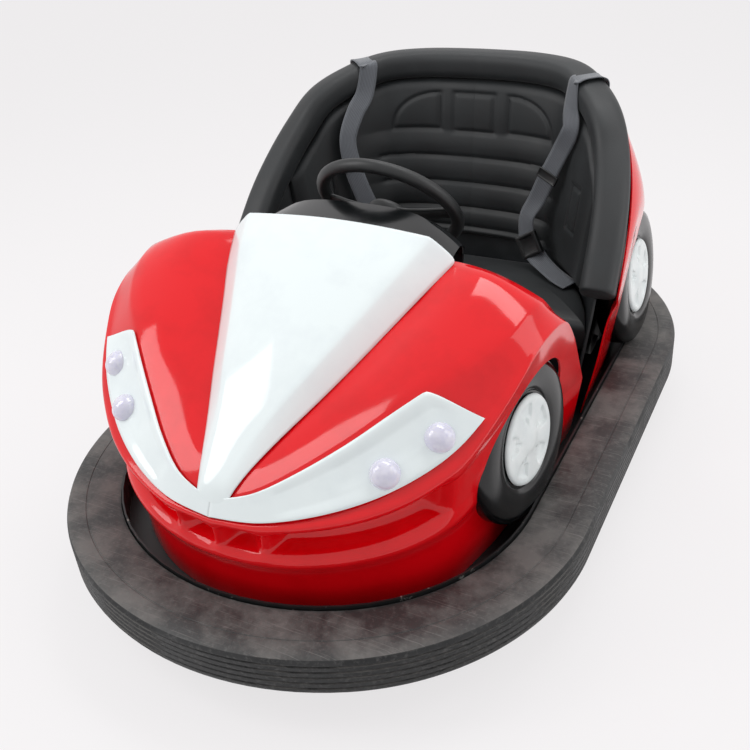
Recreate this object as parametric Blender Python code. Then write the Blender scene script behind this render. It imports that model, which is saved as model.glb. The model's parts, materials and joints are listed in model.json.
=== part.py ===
"""Battery bumper car, built in metres: front towards -Y, the car's left towards +X, up +Z."""
import math

import bmesh
import bpy
from mathutils import Matrix, Vector

# ---- driving dimensions -------------------------------------------------------------
CAR_LENGTH = 1.88           # over the rubber ring
CAR_WIDTH = 1.216           # over the rubber ring
RING_BOTTOM = 0.100         # floor to the underside of the rubber
RING_HEIGHT = 0.093
RING_WIDTH = 0.123          # rubber seen from above
RING_BEVEL = 0.014
RING_END_FLAT = 0.048       # corner arcs' centres from the middle line
RING_NOSE_EXTRA = 0.104     # end arcs' radius beyond the corners'
RING_STEPS = 64             # points round the ring

RIM_WALL = 0.004            # steel channel that carries the rubber
RIM_LIP = 0.006             # lip above the rubber
RIM_SHELF = 0.065           # shelf under the rubber

PLATE_TOP = 0.130           # chassis plate
PLATE_WALL = 0.004
GAP = 0.0004                # between touching pieces

SKIN = 0.004                # moulded body shell
PANEL_DROP = 0.0030
PANEL_WALL = 0.004          # bonnet panel
TUB_WALL = 0.005

WHEEL_CENTRE_Z = 0.346      # moulded road wheels
WHEEL_WIDTH = 0.075
WHEEL_TILT = math.radians(6.0)      # top leans in
WHEEL_RADIUS = 0.182
WHEEL_DISH_RADIUS = 0.110
WHEEL_DISH_DEPTH = 0.009
CAP_RADIUS = 0.098
CAP_WALL = 0.010
CAP_STEPS = 28
FRONT_WHEEL = (0.428, -0.322)
REAR_WHEEL = (0.455, 0.470)
FRONT_TOE = math.radians(7.0)       # face turned a little forward
WHEEL_STEPS = 36
ARCH_DEPTH = 0.010

LAMP_RADIUS = 0.029
LAMP_DEPTH = 0.010
LENS_STEPS = 16

ROLL_RADIUS = 0.037         # seat bolster
ROLL_SEAT = 0.0020          # bolster above the tub wall
WALL_LEAN = 0.15            # tub wall leans out by this share of its height
CUSHION_TOP = 0.375
CUSHION_THICK = 0.085
CUSHION_FRONT = 0.135
CUSHION_BACK = 0.440
CUSHION_ROUND = 0.016
SEAT_MARGIN = 0.005
SEAT_WALL = 0.006
PAD_THICK = 0.032
PAD_BOTTOM = 0.385
PAD_MARGIN = 0.004

DRIVE_Y = -0.400            # swivelling drive unit
DRIVE_WHEEL_RADIUS = 0.110
DRIVE_WHEEL_WIDTH = 0.060
DRIVE_ARM = 0.008
DRIVE_ARM_GAP = 0.008
DRIVE_YOKE_TOP = 0.262
DRIVE_HOLE = 0.205
SWIVEL_RADIUS = 0.016
MAST_TOP = 0.290
MAST_HALF = 0.245
MAST_WALL = 0.006
MAST_DEPTH = 0.080
MOTOR_RADIUS = 0.062
MOTOR_LENGTH = 0.105
MOTOR_Z = 0.185

REAR_AXLE_AT = (0.360, 0.500)   # two fixed wheels behind, placed as the body tables are
REAR_WHEEL_RADIUS = 0.100
REAR_WHEEL_WIDTH = 0.045
AXLE_RADIUS = 0.011
HUB_PLAY = 0.0006
TYRE_STEPS = 24
HANGER_WALL = 0.008
RUN_CLEARANCE = 0.010

STEER_CENTRE = (0.0, 0.020, 0.670)
STEER_TILT = math.radians(37.5)      # of the shaft above level
STEER_RIM_RADIUS = 0.165
STEER_TUBE = 0.0145
STEER_SHAFT = 0.011
COLUMN_RADIUS = 0.021

BATTERY = (0.480, 0.220, 0.150)
BATTERY_Y = 0.270


HALF_L = CAR_LENGTH / 2
HALF_W = CAR_WIDTH / 2
RING_CORNER_RADIUS = HALF_W - RING_END_FLAT
RING_NOSE_RADIUS = RING_CORNER_RADIUS + RING_NOSE_EXTRA
OPEN_HALF_L = HALF_L - RING_WIDTH
OPEN_HALF_W = HALF_W - RING_WIDTH
DESIGN_OPEN = (0.485, 0.817)         # ring opening that the body tables are drawn for
REAR_TRACK_HALF = REAR_AXLE_AT[0] * OPEN_HALF_W / DESIGN_OPEN[0]
REAR_AXLE_Y = REAR_AXLE_AT[1] * OPEN_HALF_L / DESIGN_OPEN[1]

RED = (0.83, 0.022, 0.033)
WHITE = (0.90, 0.96, 0.97)
BLACK = (0.018, 0.021, 0.024)
RUBBER = (0.055, 0.053, 0.050)
STEEL = (0.10, 0.10, 0.10)
GREY = (0.12, 0.125, 0.14)

# ---- tables ---------------------------------------------------------------------------
# Front body, one row a station from the nose round to the door.
# bottom x y | bar x y z | lip x y z | shoulder x y z | inner x y z | crown
FRONT = (
    (0.000, -0.768, 0.000, -0.788, 0.272, 0.000, -0.792, 0.362, 0.000, -0.772, 0.398, 0.000, -0.735, 0.424, 0.000),
    (0.095, -0.760, 0.098, -0.778, 0.273, 0.105, -0.782, 0.366, 0.080, -0.752, 0.420, 0.046, -0.712, 0.441, 0.002),
    (0.190, -0.730, 0.196, -0.746, 0.276, 0.208, -0.746, 0.377, 0.150, -0.705, 0.452, 0.078, -0.640, 0.474, 0.006),
    (0.273, -0.681, 0.284, -0.695, 0.282, 0.298, -0.694, 0.394, 0.222, -0.640, 0.492, 0.118, -0.555, 0.514, 0.010),
    (0.334, -0.628, 0.348, -0.636, 0.290, 0.368, -0.634, 0.420, 0.288, -0.577, 0.538, 0.158, -0.465, 0.556, 0.014),
    (0.382, -0.555, 0.396, -0.562, 0.300, 0.420, -0.572, 0.458, 0.345, -0.520, 0.574, 0.193, -0.385, 0.596, 0.018),
    (0.405, -0.472, 0.420, -0.480, 0.310, 0.455, -0.500, 0.515, 0.400, -0.460, 0.600, 0.220, -0.320, 0.628, 0.022),
    (0.421, -0.393, 0.438, -0.400, 0.315, 0.482, -0.420, 0.572, 0.437, -0.395, 0.622, 0.240, -0.275, 0.651, 0.026),
    (0.430, -0.300, 0.448, -0.300, 0.318, 0.498, -0.335, 0.600, 0.456, -0.335, 0.638, 0.254, -0.245, 0.664, 0.028),
    (0.438, -0.130, 0.458, -0.120, 0.312, 0.505, -0.235, 0.585, 0.464, -0.285, 0.642, 0.260, -0.230, 0.669, 0.028),
    (0.447, 0.030, 0.470, 0.035, 0.285, 0.500, -0.150, 0.500, 0.462, -0.245, 0.632, 0.264, -0.216, 0.672, 0.018),
)
# Bonnet panel, from the nose to the cowl: foot x y z | top edge x y z | middle z
BONNET = (
    (0.038, -0.768, 0.414, 0.022, -0.766, 0.424, 0.428),
    (0.056, -0.720, 0.446, 0.034, -0.715, 0.460, 0.464),
    (0.088, -0.645, 0.482, 0.058, -0.640, 0.508, 0.514),
    (0.128, -0.560, 0.521, 0.094, -0.556, 0.558, 0.566),
    (0.168, -0.470, 0.563, 0.130, -0.466, 0.606, 0.616),
    (0.203, -0.390, 0.603, 0.162, -0.388, 0.648, 0.660),
    (0.238, -0.312, 0.643, 0.192, -0.312, 0.690, 0.702),
    (0.272, -0.222, 0.680, 0.218, -0.233, 0.727, 0.740),
)
# Line of the seat bolster from the middle of the back to its lower front end: x y z
BOLSTER = (
    (0.000, 0.600, 0.846),
    (0.150, 0.590, 0.845),
    (0.265, 0.552, 0.838),
    (0.340, 0.478, 0.815),
    (0.395, 0.405, 0.780),
    (0.430, 0.345, 0.720),
    (0.455, 0.270, 0.650),
    (0.470, 0.190, 0.575),
    (0.478, 0.100, 0.480),
)
# Rear body from the tail to the door, by bolster station: bottom x y | waist x y z
REAR = (
    (0.000, 0.765, 0.000, 0.790, 0.420),
    (0.170, 0.750, 0.178, 0.772, 0.425),
    (0.300, 0.690, 0.318, 0.705, 0.445),
    (0.375, 0.620, 0.408, 0.628, 0.480),
    (0.415, 0.530, 0.466, 0.535, 0.540),
    (0.430, 0.430, 0.497, 0.430, 0.575),
    (0.438, 0.330, 0.506, 0.325, 0.570),
    (0.444, 0.210, 0.506, 0.210, 0.500),
    (0.447, 0.110, 0.502, 0.100, 0.420),
)


# ---- helpers ---------------------------------------------------------------------------
def clear_scene():
    for item in list(bpy.data.objects):
        bpy.data.objects.remove(item, do_unlink=True)


def material(name, colour, roughness, metallic=0.0):
    found = bpy.data.materials.get(name)
    if found:
        return found
    made = bpy.data.materials.new(name)
    made.use_nodes = True
    shader = made.node_tree.nodes["Principled BSDF"]
    shader.inputs["Base Color"].default_value = (*colour, 1.0)
    shader.inputs["Roughness"].default_value = roughness
    shader.inputs["Metallic"].default_value = metallic
    return made


def finish(name, bm, look, smooth=True):
    """Turn a bmesh into a named object with one material."""
    bmesh.ops.recalc_face_normals(bm, faces=bm.faces)
    mesh = bpy.data.meshes.new(name)
    bm.to_mesh(mesh)
    bm.free()
    piece = bpy.data.objects.new(name, mesh)
    bpy.context.collection.objects.link(piece)
    mesh.materials.append(look)
    if smooth:
        mesh.shade_smooth()
        mesh.set_sharp_from_angle(angle=math.radians(35))
    return piece


def cutter(name, bm):
    piece = finish(name, bm, material("cutter", GREY, 0.5), smooth=False)
    piece.hide_render = True
    piece.display_type = "WIRE"
    return piece


def cut(piece, *tools):
    for tool in tools:
        step = piece.modifiers.new("cut " + tool.name, "BOOLEAN")
        step.operation = "DIFFERENCE"
        step.object = tool
        step.solver = "EXACT"


def thicken(piece, wall, offset=-1.0):
    step = piece.modifiers.new("wall", "SOLIDIFY")
    step.thickness = wall
    step.offset = offset
    step.use_rim = True
    return step


def sheet(rows):
    """Bridge rows of points, each as long as the last, into one open sheet."""
    bm = bmesh.new()
    made = [[bm.verts.new(point) for point in row] for row in rows]
    for low, high in zip(made, made[1:]):
        for i in range(len(low) - 1):
            bm.faces.new((low[i], low[i + 1], high[i + 1], high[i]))
    return bm


def loft(sections, closed=False):
    """Skin rings of points; the ends are capped unless the path closes on itself."""
    bm = bmesh.new()
    rings = [[bm.verts.new(point) for point in ring] for ring in sections]
    pairs = list(zip(rings, rings[1:]))
    if closed:
        pairs.append((rings[-1], rings[0]))
    count = len(rings[0])
    for a, b in pairs:
        for i in range(count):
            j = (i + 1) % count
            bm.faces.new((a[i], a[j], b[j], b[i]))
    if not closed:
        bm.faces.new(rings[0])
        bm.faces.new(rings[-1])
    return bm


def box(low, high, bevel=0.0):
    bm = bmesh.new()
    size = [b - a for a, b in zip(low, high)]
    centre = [(a + b) / 2 for a, b in zip(low, high)]
    place = Matrix.Translation(centre) @ Matrix.Diagonal((*size, 1.0))
    bmesh.ops.create_cube(bm, size=1.0, matrix=place)
    if bevel > 0:
        bmesh.ops.bevel(bm, geom=bm.edges[:], offset=bevel, offset_type="OFFSET", segments=2,
                        profile=0.5, affect="EDGES", material=-1)
    return bm


def drum(radius, depth, matrix, steps=32, top=None):
    bm = bmesh.new()
    bmesh.ops.create_cone(bm, cap_ends=True, segments=steps, radius1=radius,
                          radius2=radius if top is None else top, depth=depth, matrix=matrix)
    return bm


def turned(profile, steps, place):
    """Turn a closed profile of (radius, height) points about Z, then place it."""
    bm = bmesh.new()
    rings = []
    for k in range(steps):
        angle = 2 * math.pi * k / steps
        rings.append([bm.verts.new((r * math.cos(angle), r * math.sin(angle), z)) for r, z in profile])
    count = len(profile)
    for a, b in zip(rings, rings[1:] + rings[:1]):
        for i in range(count):
            j = (i + 1) % count
            bm.faces.new((a[i], a[j], b[j], b[i]))
    bmesh.ops.remove_doubles(bm, verts=bm.verts, dist=0.00001)
    bmesh.ops.transform(bm, matrix=place, verts=bm.verts)
    return bm


def union(name, pieces, look):
    """Boolean union of closed bmeshes into one body."""
    base = finish(name, pieces[0], look)
    for i, bm in enumerate(pieces[1:]):
        tool = cutter("%s join %d" % (name, i), bm)
        step = base.modifiers.new("join %d" % i, "BOOLEAN")
        step.operation = "UNION"
        step.object = tool
        step.solver = "EXACT"
    return base


def along_x(x, y, z, turn=0.0):
    return Matrix.Translation((x, y, z)) @ Matrix.Rotation(turn, 4, "Z") @ Matrix.Rotation(math.pi / 2, 4, "Y")


def catmull(points, per_span):
    """Smooth curve through tuples of any length."""
    out = []
    last = len(points) - 1
    for i in range(last):
        p0 = points[max(i - 1, 0)]
        p1, p2 = points[i], points[i + 1]
        p3 = points[min(i + 2, last)]
        for k in range(per_span):
            t = k / per_span
            out.append(tuple(
                0.5 * (2 * b + (c - a) * t + (2 * a - 5 * b + 4 * c - d) * t * t
                       + (3 * b - a - 3 * c + d) * t ** 3)
                for a, b, c, d in zip(p0, p1, p2, p3)))
    out.append(tuple(points[-1]))
    return out


def plan(x, y):
    """Body tables follow the ring's opening."""
    return x * OPEN_HALF_W / DESIGN_OPEN[0], y * OPEN_HALF_L / DESIGN_OPEN[1]


def spot(x, y, z):
    return Vector((*plan(x, y), z))


def both_sides(half):
    """A row from the middle out, completed with its mirror image."""
    left = [Vector(p) for p in half]
    right = [Vector((-p.x, p.y, p.z)) for p in reversed(left) if abs(p.x) > 1e-6]
    return right + left


# ---- ring and chassis --------------------------------------------------------------------
def oval(inset, z, steps=RING_STEPS):
    """Plan of the ring: two straight sides, four corner arcs and two end arcs."""
    across = HALF_W - RING_CORNER_RADIUS
    nose_y = HALF_L - RING_NOSE_RADIUS
    corner_y = nose_y + math.sqrt((RING_NOSE_RADIUS - RING_CORNER_RADIUS) ** 2 - across ** 2)
    swing = math.atan2(across, corner_y - nose_y)
    quarter = steps // 4
    end_steps = max(2, quarter // 3)
    corner_steps = quarter - end_steps - 1
    points = []
    for k in range(end_steps):
        a = swing * k / end_steps
        r = RING_NOSE_RADIUS - inset
        points.append((r * math.sin(a), nose_y + r * math.cos(a)))
    for k in range(corner_steps + 1):
        a = swing + (math.pi / 2 - swing) * k / corner_steps
        r = RING_CORNER_RADIUS - inset
        points.append((across + r * math.sin(a), corner_y + r * math.cos(a)))
    lower = [(x, -y) for x, y in reversed(points)]
    right = points + [(HALF_W - inset, 0.0)] + lower
    left = [(-x, y) for x, y in reversed(right[1:-1])]
    return [Vector((x, y, z)) for x, y in right + left]


def swept_ring(section):
    """Carry a section of (inset, z) points round the oval."""
    loops = [oval(inset, z) for inset, z in section]
    sections = [[loop[k] for loop in loops] for k in range(len(loops[0]))]
    return loft(sections, closed=True)


def make_ring():
    top = RING_BOTTOM + RING_HEIGHT
    low, high = RING_BOTTOM, top
    b = RING_BEVEL
    section = ((b, low), (0, low + b), (0, high - b), (b, high), (RING_WIDTH - b / 2, high),
               (RING_WIDTH, high - b / 2), (RING_WIDTH, low))
    finish("bumper_ring", swept_ring(section), material("rubber", RUBBER, 0.85))


def make_rim():
    high = RING_BOTTOM + RING_HEIGHT + RIM_LIP
    low = RING_BOTTOM - GAP - RIM_WALL
    web = RING_WIDTH + GAP
    section = ((RING_WIDTH - RIM_SHELF, low), (RING_WIDTH - RIM_SHELF, low + RIM_WALL),
               (web, low + RIM_WALL), (web, high), (web + RIM_WALL, high), (web + RIM_WALL, low))
    finish("bumper_rim", swept_ring(section), material("rim steel", STEEL, 0.45, 0.8), smooth=False)


def ring_room():
    """Cutter that keeps moulded pieces off the ring and its rim."""
    edge = RING_WIDTH + RIM_WALL + 2 * GAP
    top = RING_BOTTOM + RING_HEIGHT + RIM_LIP + GAP
    section = ((-0.05, 0.0), (-0.05, top), (edge, top), (edge, 0.0))
    return cutter("ring room", swept_ring(section))


def slab(outline, low, high):
    """Upright plate with the given outline."""
    bm = bmesh.new()
    face = bm.faces.new([bm.verts.new((p.x, p.y, low)) for p in outline])
    grown = bmesh.ops.extrude_face_region(bm, geom=[face])
    moved = [v for v in grown["geom"] if isinstance(v, bmesh.types.BMVert)]
    bmesh.ops.translate(bm, verts=moved, vec=(0, 0, high - low))
    return bm


def make_plate():
    outline = oval(RING_WIDTH + 2 * GAP + RIM_WALL, 0.0)
    low = PLATE_TOP - PLATE_WALL
    plate = finish("chassis_plate", slab(outline, low, PLATE_TOP),
                   material("chassis steel", STEEL, 0.6, 0.5), smooth=False)
    centre = Matrix.Translation((0, DRIVE_Y, PLATE_TOP))
    cut(plate, cutter("drive hole", drum(DRIVE_HOLE, 0.1, centre, 40)))
    half_x = REAR_WHEEL_WIDTH / 2 + RUN_CLEARANCE
    reach = math.sqrt(REAR_WHEEL_RADIUS ** 2 - (low - REAR_WHEEL_RADIUS) ** 2) + RUN_CLEARANCE
    for side in (-1, 1):
        x = side * REAR_TRACK_HALF
        tool = box((x - half_x, REAR_AXLE_Y - reach, low - 0.05), (x + half_x, REAR_AXLE_Y + reach, PLATE_TOP + 0.05))
        cut(plate, cutter("wheel slot %d" % side, tool))


# ---- front body ----------------------------------------------------------------------------
GRILLE_DEPTH = 0.024
LAMP_SINK = 0.008
LAMP_GAP = 0.0009
LAMP_LAST = 6               # station where the lamp housing ends


def front_sections():
    """Every smooth station as a dictionary of its points."""
    stations = []
    for i, row in enumerate(catmull(FRONT, 2)):
        at = i / 2
        bottom = spot(row[0], row[1], PLATE_TOP + GAP)
        bar = spot(*row[2:5])
        lip = spot(*row[5:8])
        shoulder = spot(*row[8:11])
        inner = spot(*row[11:14])
        stations.append(dict(at=at, bottom=bottom, bar=bar, lip=lip, shoulder=shoulder,
                             inner=inner, crown=row[14]))
    return stations


def inward(point):
    """Level direction from a point on the body's plan to its middle."""
    away = Vector((point.x, point.y + 0.33, 0.0))
    return -away.normalized()


def make_front_body():
    rows = [[] for _ in range(12)]
    for s in front_sections():
        fade = max(0.0, min(1.0, 6.5 - s["at"]))
        depth = GRILLE_DEPTH * fade
        sink = LAMP_SINK * max(0.0, min(1.0, (LAMP_LAST - s["at"]) * 2))
        tip = s["bar"].lerp(s["lip"], 0.45)
        push = inward(s["lip"])
        seat = s["lip"].lerp(s["shoulder"], 0.16)
        edge = s["lip"].lerp(s["shoulder"], 0.92)
        across = (s["shoulder"] - s["lip"]).normalized()
        normal = Vector((-push.x, -push.y, 0.55)).normalized()
        normal = (normal - across * normal.dot(across)).normalized()
        rows[0].append(s["bottom"])
        rows[1].append(s["bottom"].lerp(s["bar"], 0.75) + push * 0.010 * fade)
        rows[2].append(s["bar"])
        rows[3].append(tip.lerp(s["bar"], 0.55) + push * depth)
        rows[4].append(tip.lerp(s["lip"], 0.35) + push * depth)
        rows[5].append(s["lip"])
        rows[6].append(seat)
        rows[7].append(seat.lerp(edge, 0.03) - normal * sink)
        rows[8].append(seat.lerp(edge, 0.97) - normal * sink)
        rows[9].append(s["shoulder"])
        middle = s["shoulder"].lerp(s["inner"], 0.5)
        rows[10].append(middle + Vector((0, 0, s["crown"])))
        rows[11].append(s["inner"])
    body = finish("front_body", sheet([both_sides(r) for r in rows]), material("red shell", RED, 0.15))
    thicken(body, SKIN)
    for side in (-1, 1):
        cut(body, arch_cutter("front arch %d" % side, side, FRONT_WHEEL, FRONT_TOE))
        for name, (x, y, z) in LAMPS.items():
            place = lamp_place(side, x, y, z)
            cut(body, cutter("lamp hole %s %d" % (name, side),
                             drum(LAMP_RADIUS + 0.004, 0.09, place, LENS_STEPS)))


def wheel_place(side, wheel, toe):
    """Frame of a moulded wheel: its axis is local Z, pointing out of the car."""
    x, y = plan(*wheel)
    flip = math.pi if side < 0 else 0.0
    place = Matrix.Translation((side * x, y, WHEEL_CENTRE_Z)) @ Matrix.Rotation(-side * toe + flip, 4, "Z")
    return place @ Matrix.Rotation(math.pi / 2 - WHEEL_TILT, 4, "Y")


def arch_cutter(name, side, wheel, toe):
    low = -WHEEL_WIDTH / 2 - ARCH_DEPTH
    radius = WHEEL_RADIUS + GAP
    profile = ((0.0, low), (radius, low), (radius, 0.2), (0.0, 0.2))
    return cutter(name, turned(profile, WHEEL_STEPS, wheel_place(side, wheel, toe)))


LAMPS = {"inner": (0.303, -0.648, 0.452), "outer": (0.378, -0.566, 0.497)}


def lamp_place(side, x, y, z):
    centre = spot(x, y, z)
    centre.x *= side
    out = -inward(Vector((side * centre.x, centre.y, 0)))
    aim = Vector((side * out.x, out.y, 0.95)).normalized()
    turn = Vector((0, 0, 1)).rotation_difference(aim).to_matrix().to_4x4()
    return Matrix.Translation(centre) @ turn


def make_lamps():
    white = material("white shell", WHITE, 0.2)
    lens = material("lamp lens", (0.82, 0.82, 0.92), 0.25)
    stations = [s for s in front_sections() if s["at"] <= LAMP_LAST - 0.5]
    for side, word in ((1, "left"), (-1, "right")):
        rows = [[], [], [], []]
        for s in stations[1:]:
            push = inward(s["lip"])
            seat = s["lip"].lerp(s["shoulder"], 0.16)
            edge = s["lip"].lerp(s["shoulder"], 0.92)
            across = (s["shoulder"] - s["lip"]).normalized()
            normal = Vector((-push.x, -push.y, 0.55)).normalized()
            normal = (normal - across * normal.dot(across)).normalized()
            for row, share in zip(rows, (0.08, 0.36, 0.64, 0.92)):
                row.append(seat.lerp(edge, share) - normal * (LAMP_SINK - LAMP_GAP))
        if side < 0:
            rows = [[Vector((-p.x, p.y, p.z)) for p in row] for row in rows]
        housing = finish("headlamp_housing_" + word, sheet(rows), white)
        thicken(housing, 0.005, 1.0 if side > 0 else 1.0)
        for name, (x, y, z) in LAMPS.items():
            place = lamp_place(side, x, y, z)
            hole = drum(LAMP_RADIUS + GAP, 0.09, place, LENS_STEPS)
            cut(housing, cutter("lens seat %s %s" % (name, word), hole))
            steps = 5
            profile = [(0.0, -LAMP_DEPTH), (LAMP_RADIUS, -LAMP_DEPTH)]
            for k in range(steps):
                a = math.pi / 2 * k / steps
                profile.append((LAMP_RADIUS * math.cos(a), LAMP_RADIUS * 0.8 * math.sin(a)))
            profile.append((0.0, LAMP_RADIUS * 0.8))
            finish("lamp_lens_%s_%s" % (word, name), turned(profile, LENS_STEPS, place), lens)


def make_bonnet():
    rows = [[] for _ in range(4)]
    for fx, fy, fz, tx, ty, tz, mid in catmull(BONNET, 2):
        rows[0].append(spot(fx, fy, fz - PANEL_DROP))
        rows[1].append(spot(tx, ty, tz))
        rows[2].append(spot(tx * 0.5, ty, tz + (mid - tz) * 0.7))
        rows[3].append(spot(0.0, ty, mid))
    mirrored = [[Vector((-p.x, p.y, p.z)) for p in row] for row in reversed(rows[:3])]
    panel = finish("bonnet_panel", sheet(rows + mirrored), material("white shell", WHITE, 0.2))
    thicken(panel, PANEL_WALL, 1.0)


# ---- moulded road wheels ----------------------------------------------------------------------
def make_road_wheels():
    tyre_look = material("moulded tyre", BLACK, 0.2)
    cap_look = material("white cap", WHITE, 0.3)
    half = WHEEL_WIDTH / 2
    soft = 0.020
    tyre = ((0.0, -half), (WHEEL_RADIUS - soft, -half), (WHEEL_RADIUS, -half + soft),
            (WHEEL_RADIUS, half - soft), (WHEEL_RADIUS - soft * 0.35, half - soft * 0.35),
            (WHEEL_RADIUS - soft, half), (WHEEL_DISH_RADIUS, half),
            (CAP_RADIUS + 0.004, half - WHEEL_DISH_DEPTH), (0.0, half - WHEEL_DISH_DEPTH))
    face = half - WHEEL_DISH_DEPTH + GAP
    cap = ((0.0, face), (CAP_RADIUS, face), (CAP_RADIUS, face + CAP_WALL * 0.6),
           (CAP_RADIUS - 0.008, face + CAP_WALL), (0.030, face + CAP_WALL), (0.024, face + CAP_WALL * 1.8),
           (0.0, face + CAP_WALL * 1.8))
    room = ring_room()
    for end, wheel, toe in (("front", FRONT_WHEEL, FRONT_TOE), ("rear", REAR_WHEEL, 0.0)):
        for side, word in ((1, "left"), (-1, "right")):
            place = wheel_place(side, wheel, toe)
            wheel_body = finish("road_wheel_%s_%s" % (end, word), turned(tyre, WHEEL_STEPS, place), tyre_look)
            cap_body = finish("hub_cap_%s_%s" % (end, word), turned(cap, CAP_STEPS, place), cap_look)
            cut(wheel_body, room)
            cut(cap_body, room)


# ---- seat tub --------------------------------------------------------------------------------
def bolster_line(per_span):
    """Points of the bolster and their level outward direction, from the middle of the back."""
    raw = [spot(*p) for p in catmull(BOLSTER, per_span)]
    line = []
    for i, p in enumerate(raw):
        before = raw[max(i - 1, 0)]
        after = raw[min(i + 1, len(raw) - 1)]
        ahead = after - before
        if i == 0:
            ahead = Vector((1.0, 0.0, 0.0))
        out = Vector((-ahead.y, ahead.x, 0.0)).normalized()
        line.append((p, out, ahead.normalized()))
    return line


def full_line(per_span):
    half = bolster_line(per_span)
    def flip(v):
        return Vector((-v.x, v.y, v.z))
    other = [(flip(p), flip(o), -flip(a)) for p, o, a in reversed(half[1:])]
    return other + half


def make_bolster():
    sections = []
    steps = 10
    for p, out, ahead in full_line(2):
        up = out.cross(ahead)
        if up.z < 0:
            up = -up
        ring = []
        for k in range(steps):
            a = 2 * math.pi * k / steps
            ring.append(p + out * ROLL_RADIUS * math.cos(a) + up * ROLL_RADIUS * math.sin(a))
        sections.append(ring)
    finish("seat_bolster", loft(sections), material("vinyl", BLACK, 0.6))


def wall_point(p, out, z, shift=0.0):
    """Tub wall under the bolster, leaning in towards its foot."""
    return Vector((p.x, p.y, 0)) - out * (WALL_LEAN * (p.z - z) + shift) + Vector((0, 0, z))


def roll_foot(p, ahead):
    """Height of the tub wall's upper edge, just under the sloping bolster."""
    return p.z - (ROLL_RADIUS + ROLL_SEAT) / math.hypot(ahead.x, ahead.y)


def make_tub():
    rows = []
    foot = PLATE_TOP + GAP
    for share in (0.0, 0.35, 0.7, 1.0):
        row = []
        for p, out, ahead in full_line(2):
            top = roll_foot(p, ahead)
            row.append(wall_point(p, out, foot + (top - foot) * share))
        rows.append(row)
    tub = finish("seat_tub", sheet(rows), material("tub", BLACK, 0.45))
    thicken(tub, TUB_WALL, 0.0)


def make_pad():
    """Upholstered back, a curved slab standing off the tub wall."""
    line = full_line(2)[4:-4]
    sections = []
    for p, out, ahead in line:
        top = roll_foot(p, ahead) - PAD_MARGIN
        ring = []
        back = TUB_WALL / 2 + GAP
        low = PAD_BOTTOM
        for shift, z in ((back, low), (back, top), (back + PAD_THICK * 0.6, top),
                         (back + PAD_THICK, top - 0.02), (back + PAD_THICK, low + 0.02),
                         (back + PAD_THICK * 0.6, low)):
            ring.append(wall_point(p, out, z, shift))
        sections.append(ring)
    finish("backrest_pad", loft(sections), material("vinyl", BLACK, 0.6))


def tub_outline(z, front, back, shift):
    """Level outline inside the tub wall at one height, between two lines across the car."""
    half = []
    for p, out, ahead in bolster_line(4):
        q = wall_point(p, out, z, TUB_WALL / 2 + shift)
        if front < q.y < back:
            half.append(q)
    first = half[0]
    last = half[-1]
    half = [Vector((first.x - 0.010, back, z))] + half + [Vector((last.x + 0.004, front, z))]
    return half + [Vector((-q.x, q.y, z)) for q in reversed(half)]


def make_seat():
    foot = PLATE_TOP + GAP
    low = CUSHION_TOP - CUSHION_THICK
    outline = tub_outline(low, CUSHION_FRONT, CUSHION_BACK, SEAT_MARGIN)
    cushion = slab(outline, low, CUSHION_TOP)
    top_edges = [e for e in cushion.edges if all(v.co.z > CUSHION_TOP - 0.001 for v in e.verts)]
    bmesh.ops.bevel(cushion, geom=top_edges, offset=CUSHION_ROUND, offset_type="OFFSET", segments=2,
                    profile=0.5, affect="EDGES", material=-1, clamp_overlap=True)
    finish("seat_cushion", cushion, material("vinyl", BLACK, 0.6))
    front = CUSHION_FRONT + 0.010
    back = BATTERY_Y + BATTERY[1] / 2 + 0.025
    base = finish("seat_base", slab(tub_outline(foot, front, back, SEAT_MARGIN), foot, low - GAP),
                  material("tub", BLACK, 0.45), smooth=False)
    inside = tub_outline(foot, front + SEAT_WALL, back - SEAT_WALL, SEAT_MARGIN + SEAT_WALL)
    cut(base, cutter("seat hollow", slab(inside, foot - 0.05, low - GAP - SEAT_WALL)))
    length, depth, height = BATTERY
    finish("battery_block", box((-length / 2, BATTERY_Y - depth / 2, foot),
                                (length / 2, BATTERY_Y + depth / 2, foot + height), 0.004),
           material("battery", (0.05, 0.05, 0.06), 0.6), smooth=False)


# ---- rear body, sills ----------------------------------------------------------------------------
def rear_sections():
    """Columns of the rear body from the tail to the door, each from the plate up to the bolster."""
    columns = []
    for (p, out, ahead), row in zip(bolster_line(2), catmull(REAR, 2)):
        bottom = spot(row[0], row[1], PLATE_TOP + 0.0014)
        waist = spot(*row[2:5])
        hem = p + out * (ROLL_RADIUS + SKIN + 0.003) + Vector((0, 0, -0.010))
        columns.append((bottom, bottom.lerp(waist, 0.55) + out * 0.008, waist,
                        waist.lerp(hem, 0.4) + out * 0.008, waist.lerp(hem, 0.75) + out * 0.006, hem))
    return columns


def make_rear_body():
    rows = list(zip(*rear_sections()))
    body = finish("rear_body", sheet([both_sides(r) for r in rows]), material("red shell", RED, 0.15))
    thicken(body, SKIN, 1.0)
    for side in (-1, 1):
        cut(body, arch_cutter("rear arch %d" % side, side, REAR_WHEEL, 0.0))


SILL_BACK = 0.088


def make_sills():
    look = material("sill", BLACK, 0.35)
    x_out = 0.440
    x_in = 0.398
    top = 0.262
    for side, word in ((1, "left"), (-1, "right")):
        sections = []
        for y in (-0.060, SILL_BACK):
            a, b = plan(x_in, y), plan(x_out - max(0.0, -y) * 0.06, y)
            foot = PLATE_TOP + GAP
            ring = [(a[0], foot), (b[0] - 0.006, foot), (b[0], top - 0.008), (b[0] - 0.010, top), (a[0], top)]
            sections.append([Vector((side * x, a[1], z)) for x, z in ring])
        finish("sill_" + word, loft(sections), look, smooth=False)


# ---- dash and steering ---------------------------------------------------------------------------
DASH_BACK = -0.105
DASH_LOW = 0.520


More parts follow.
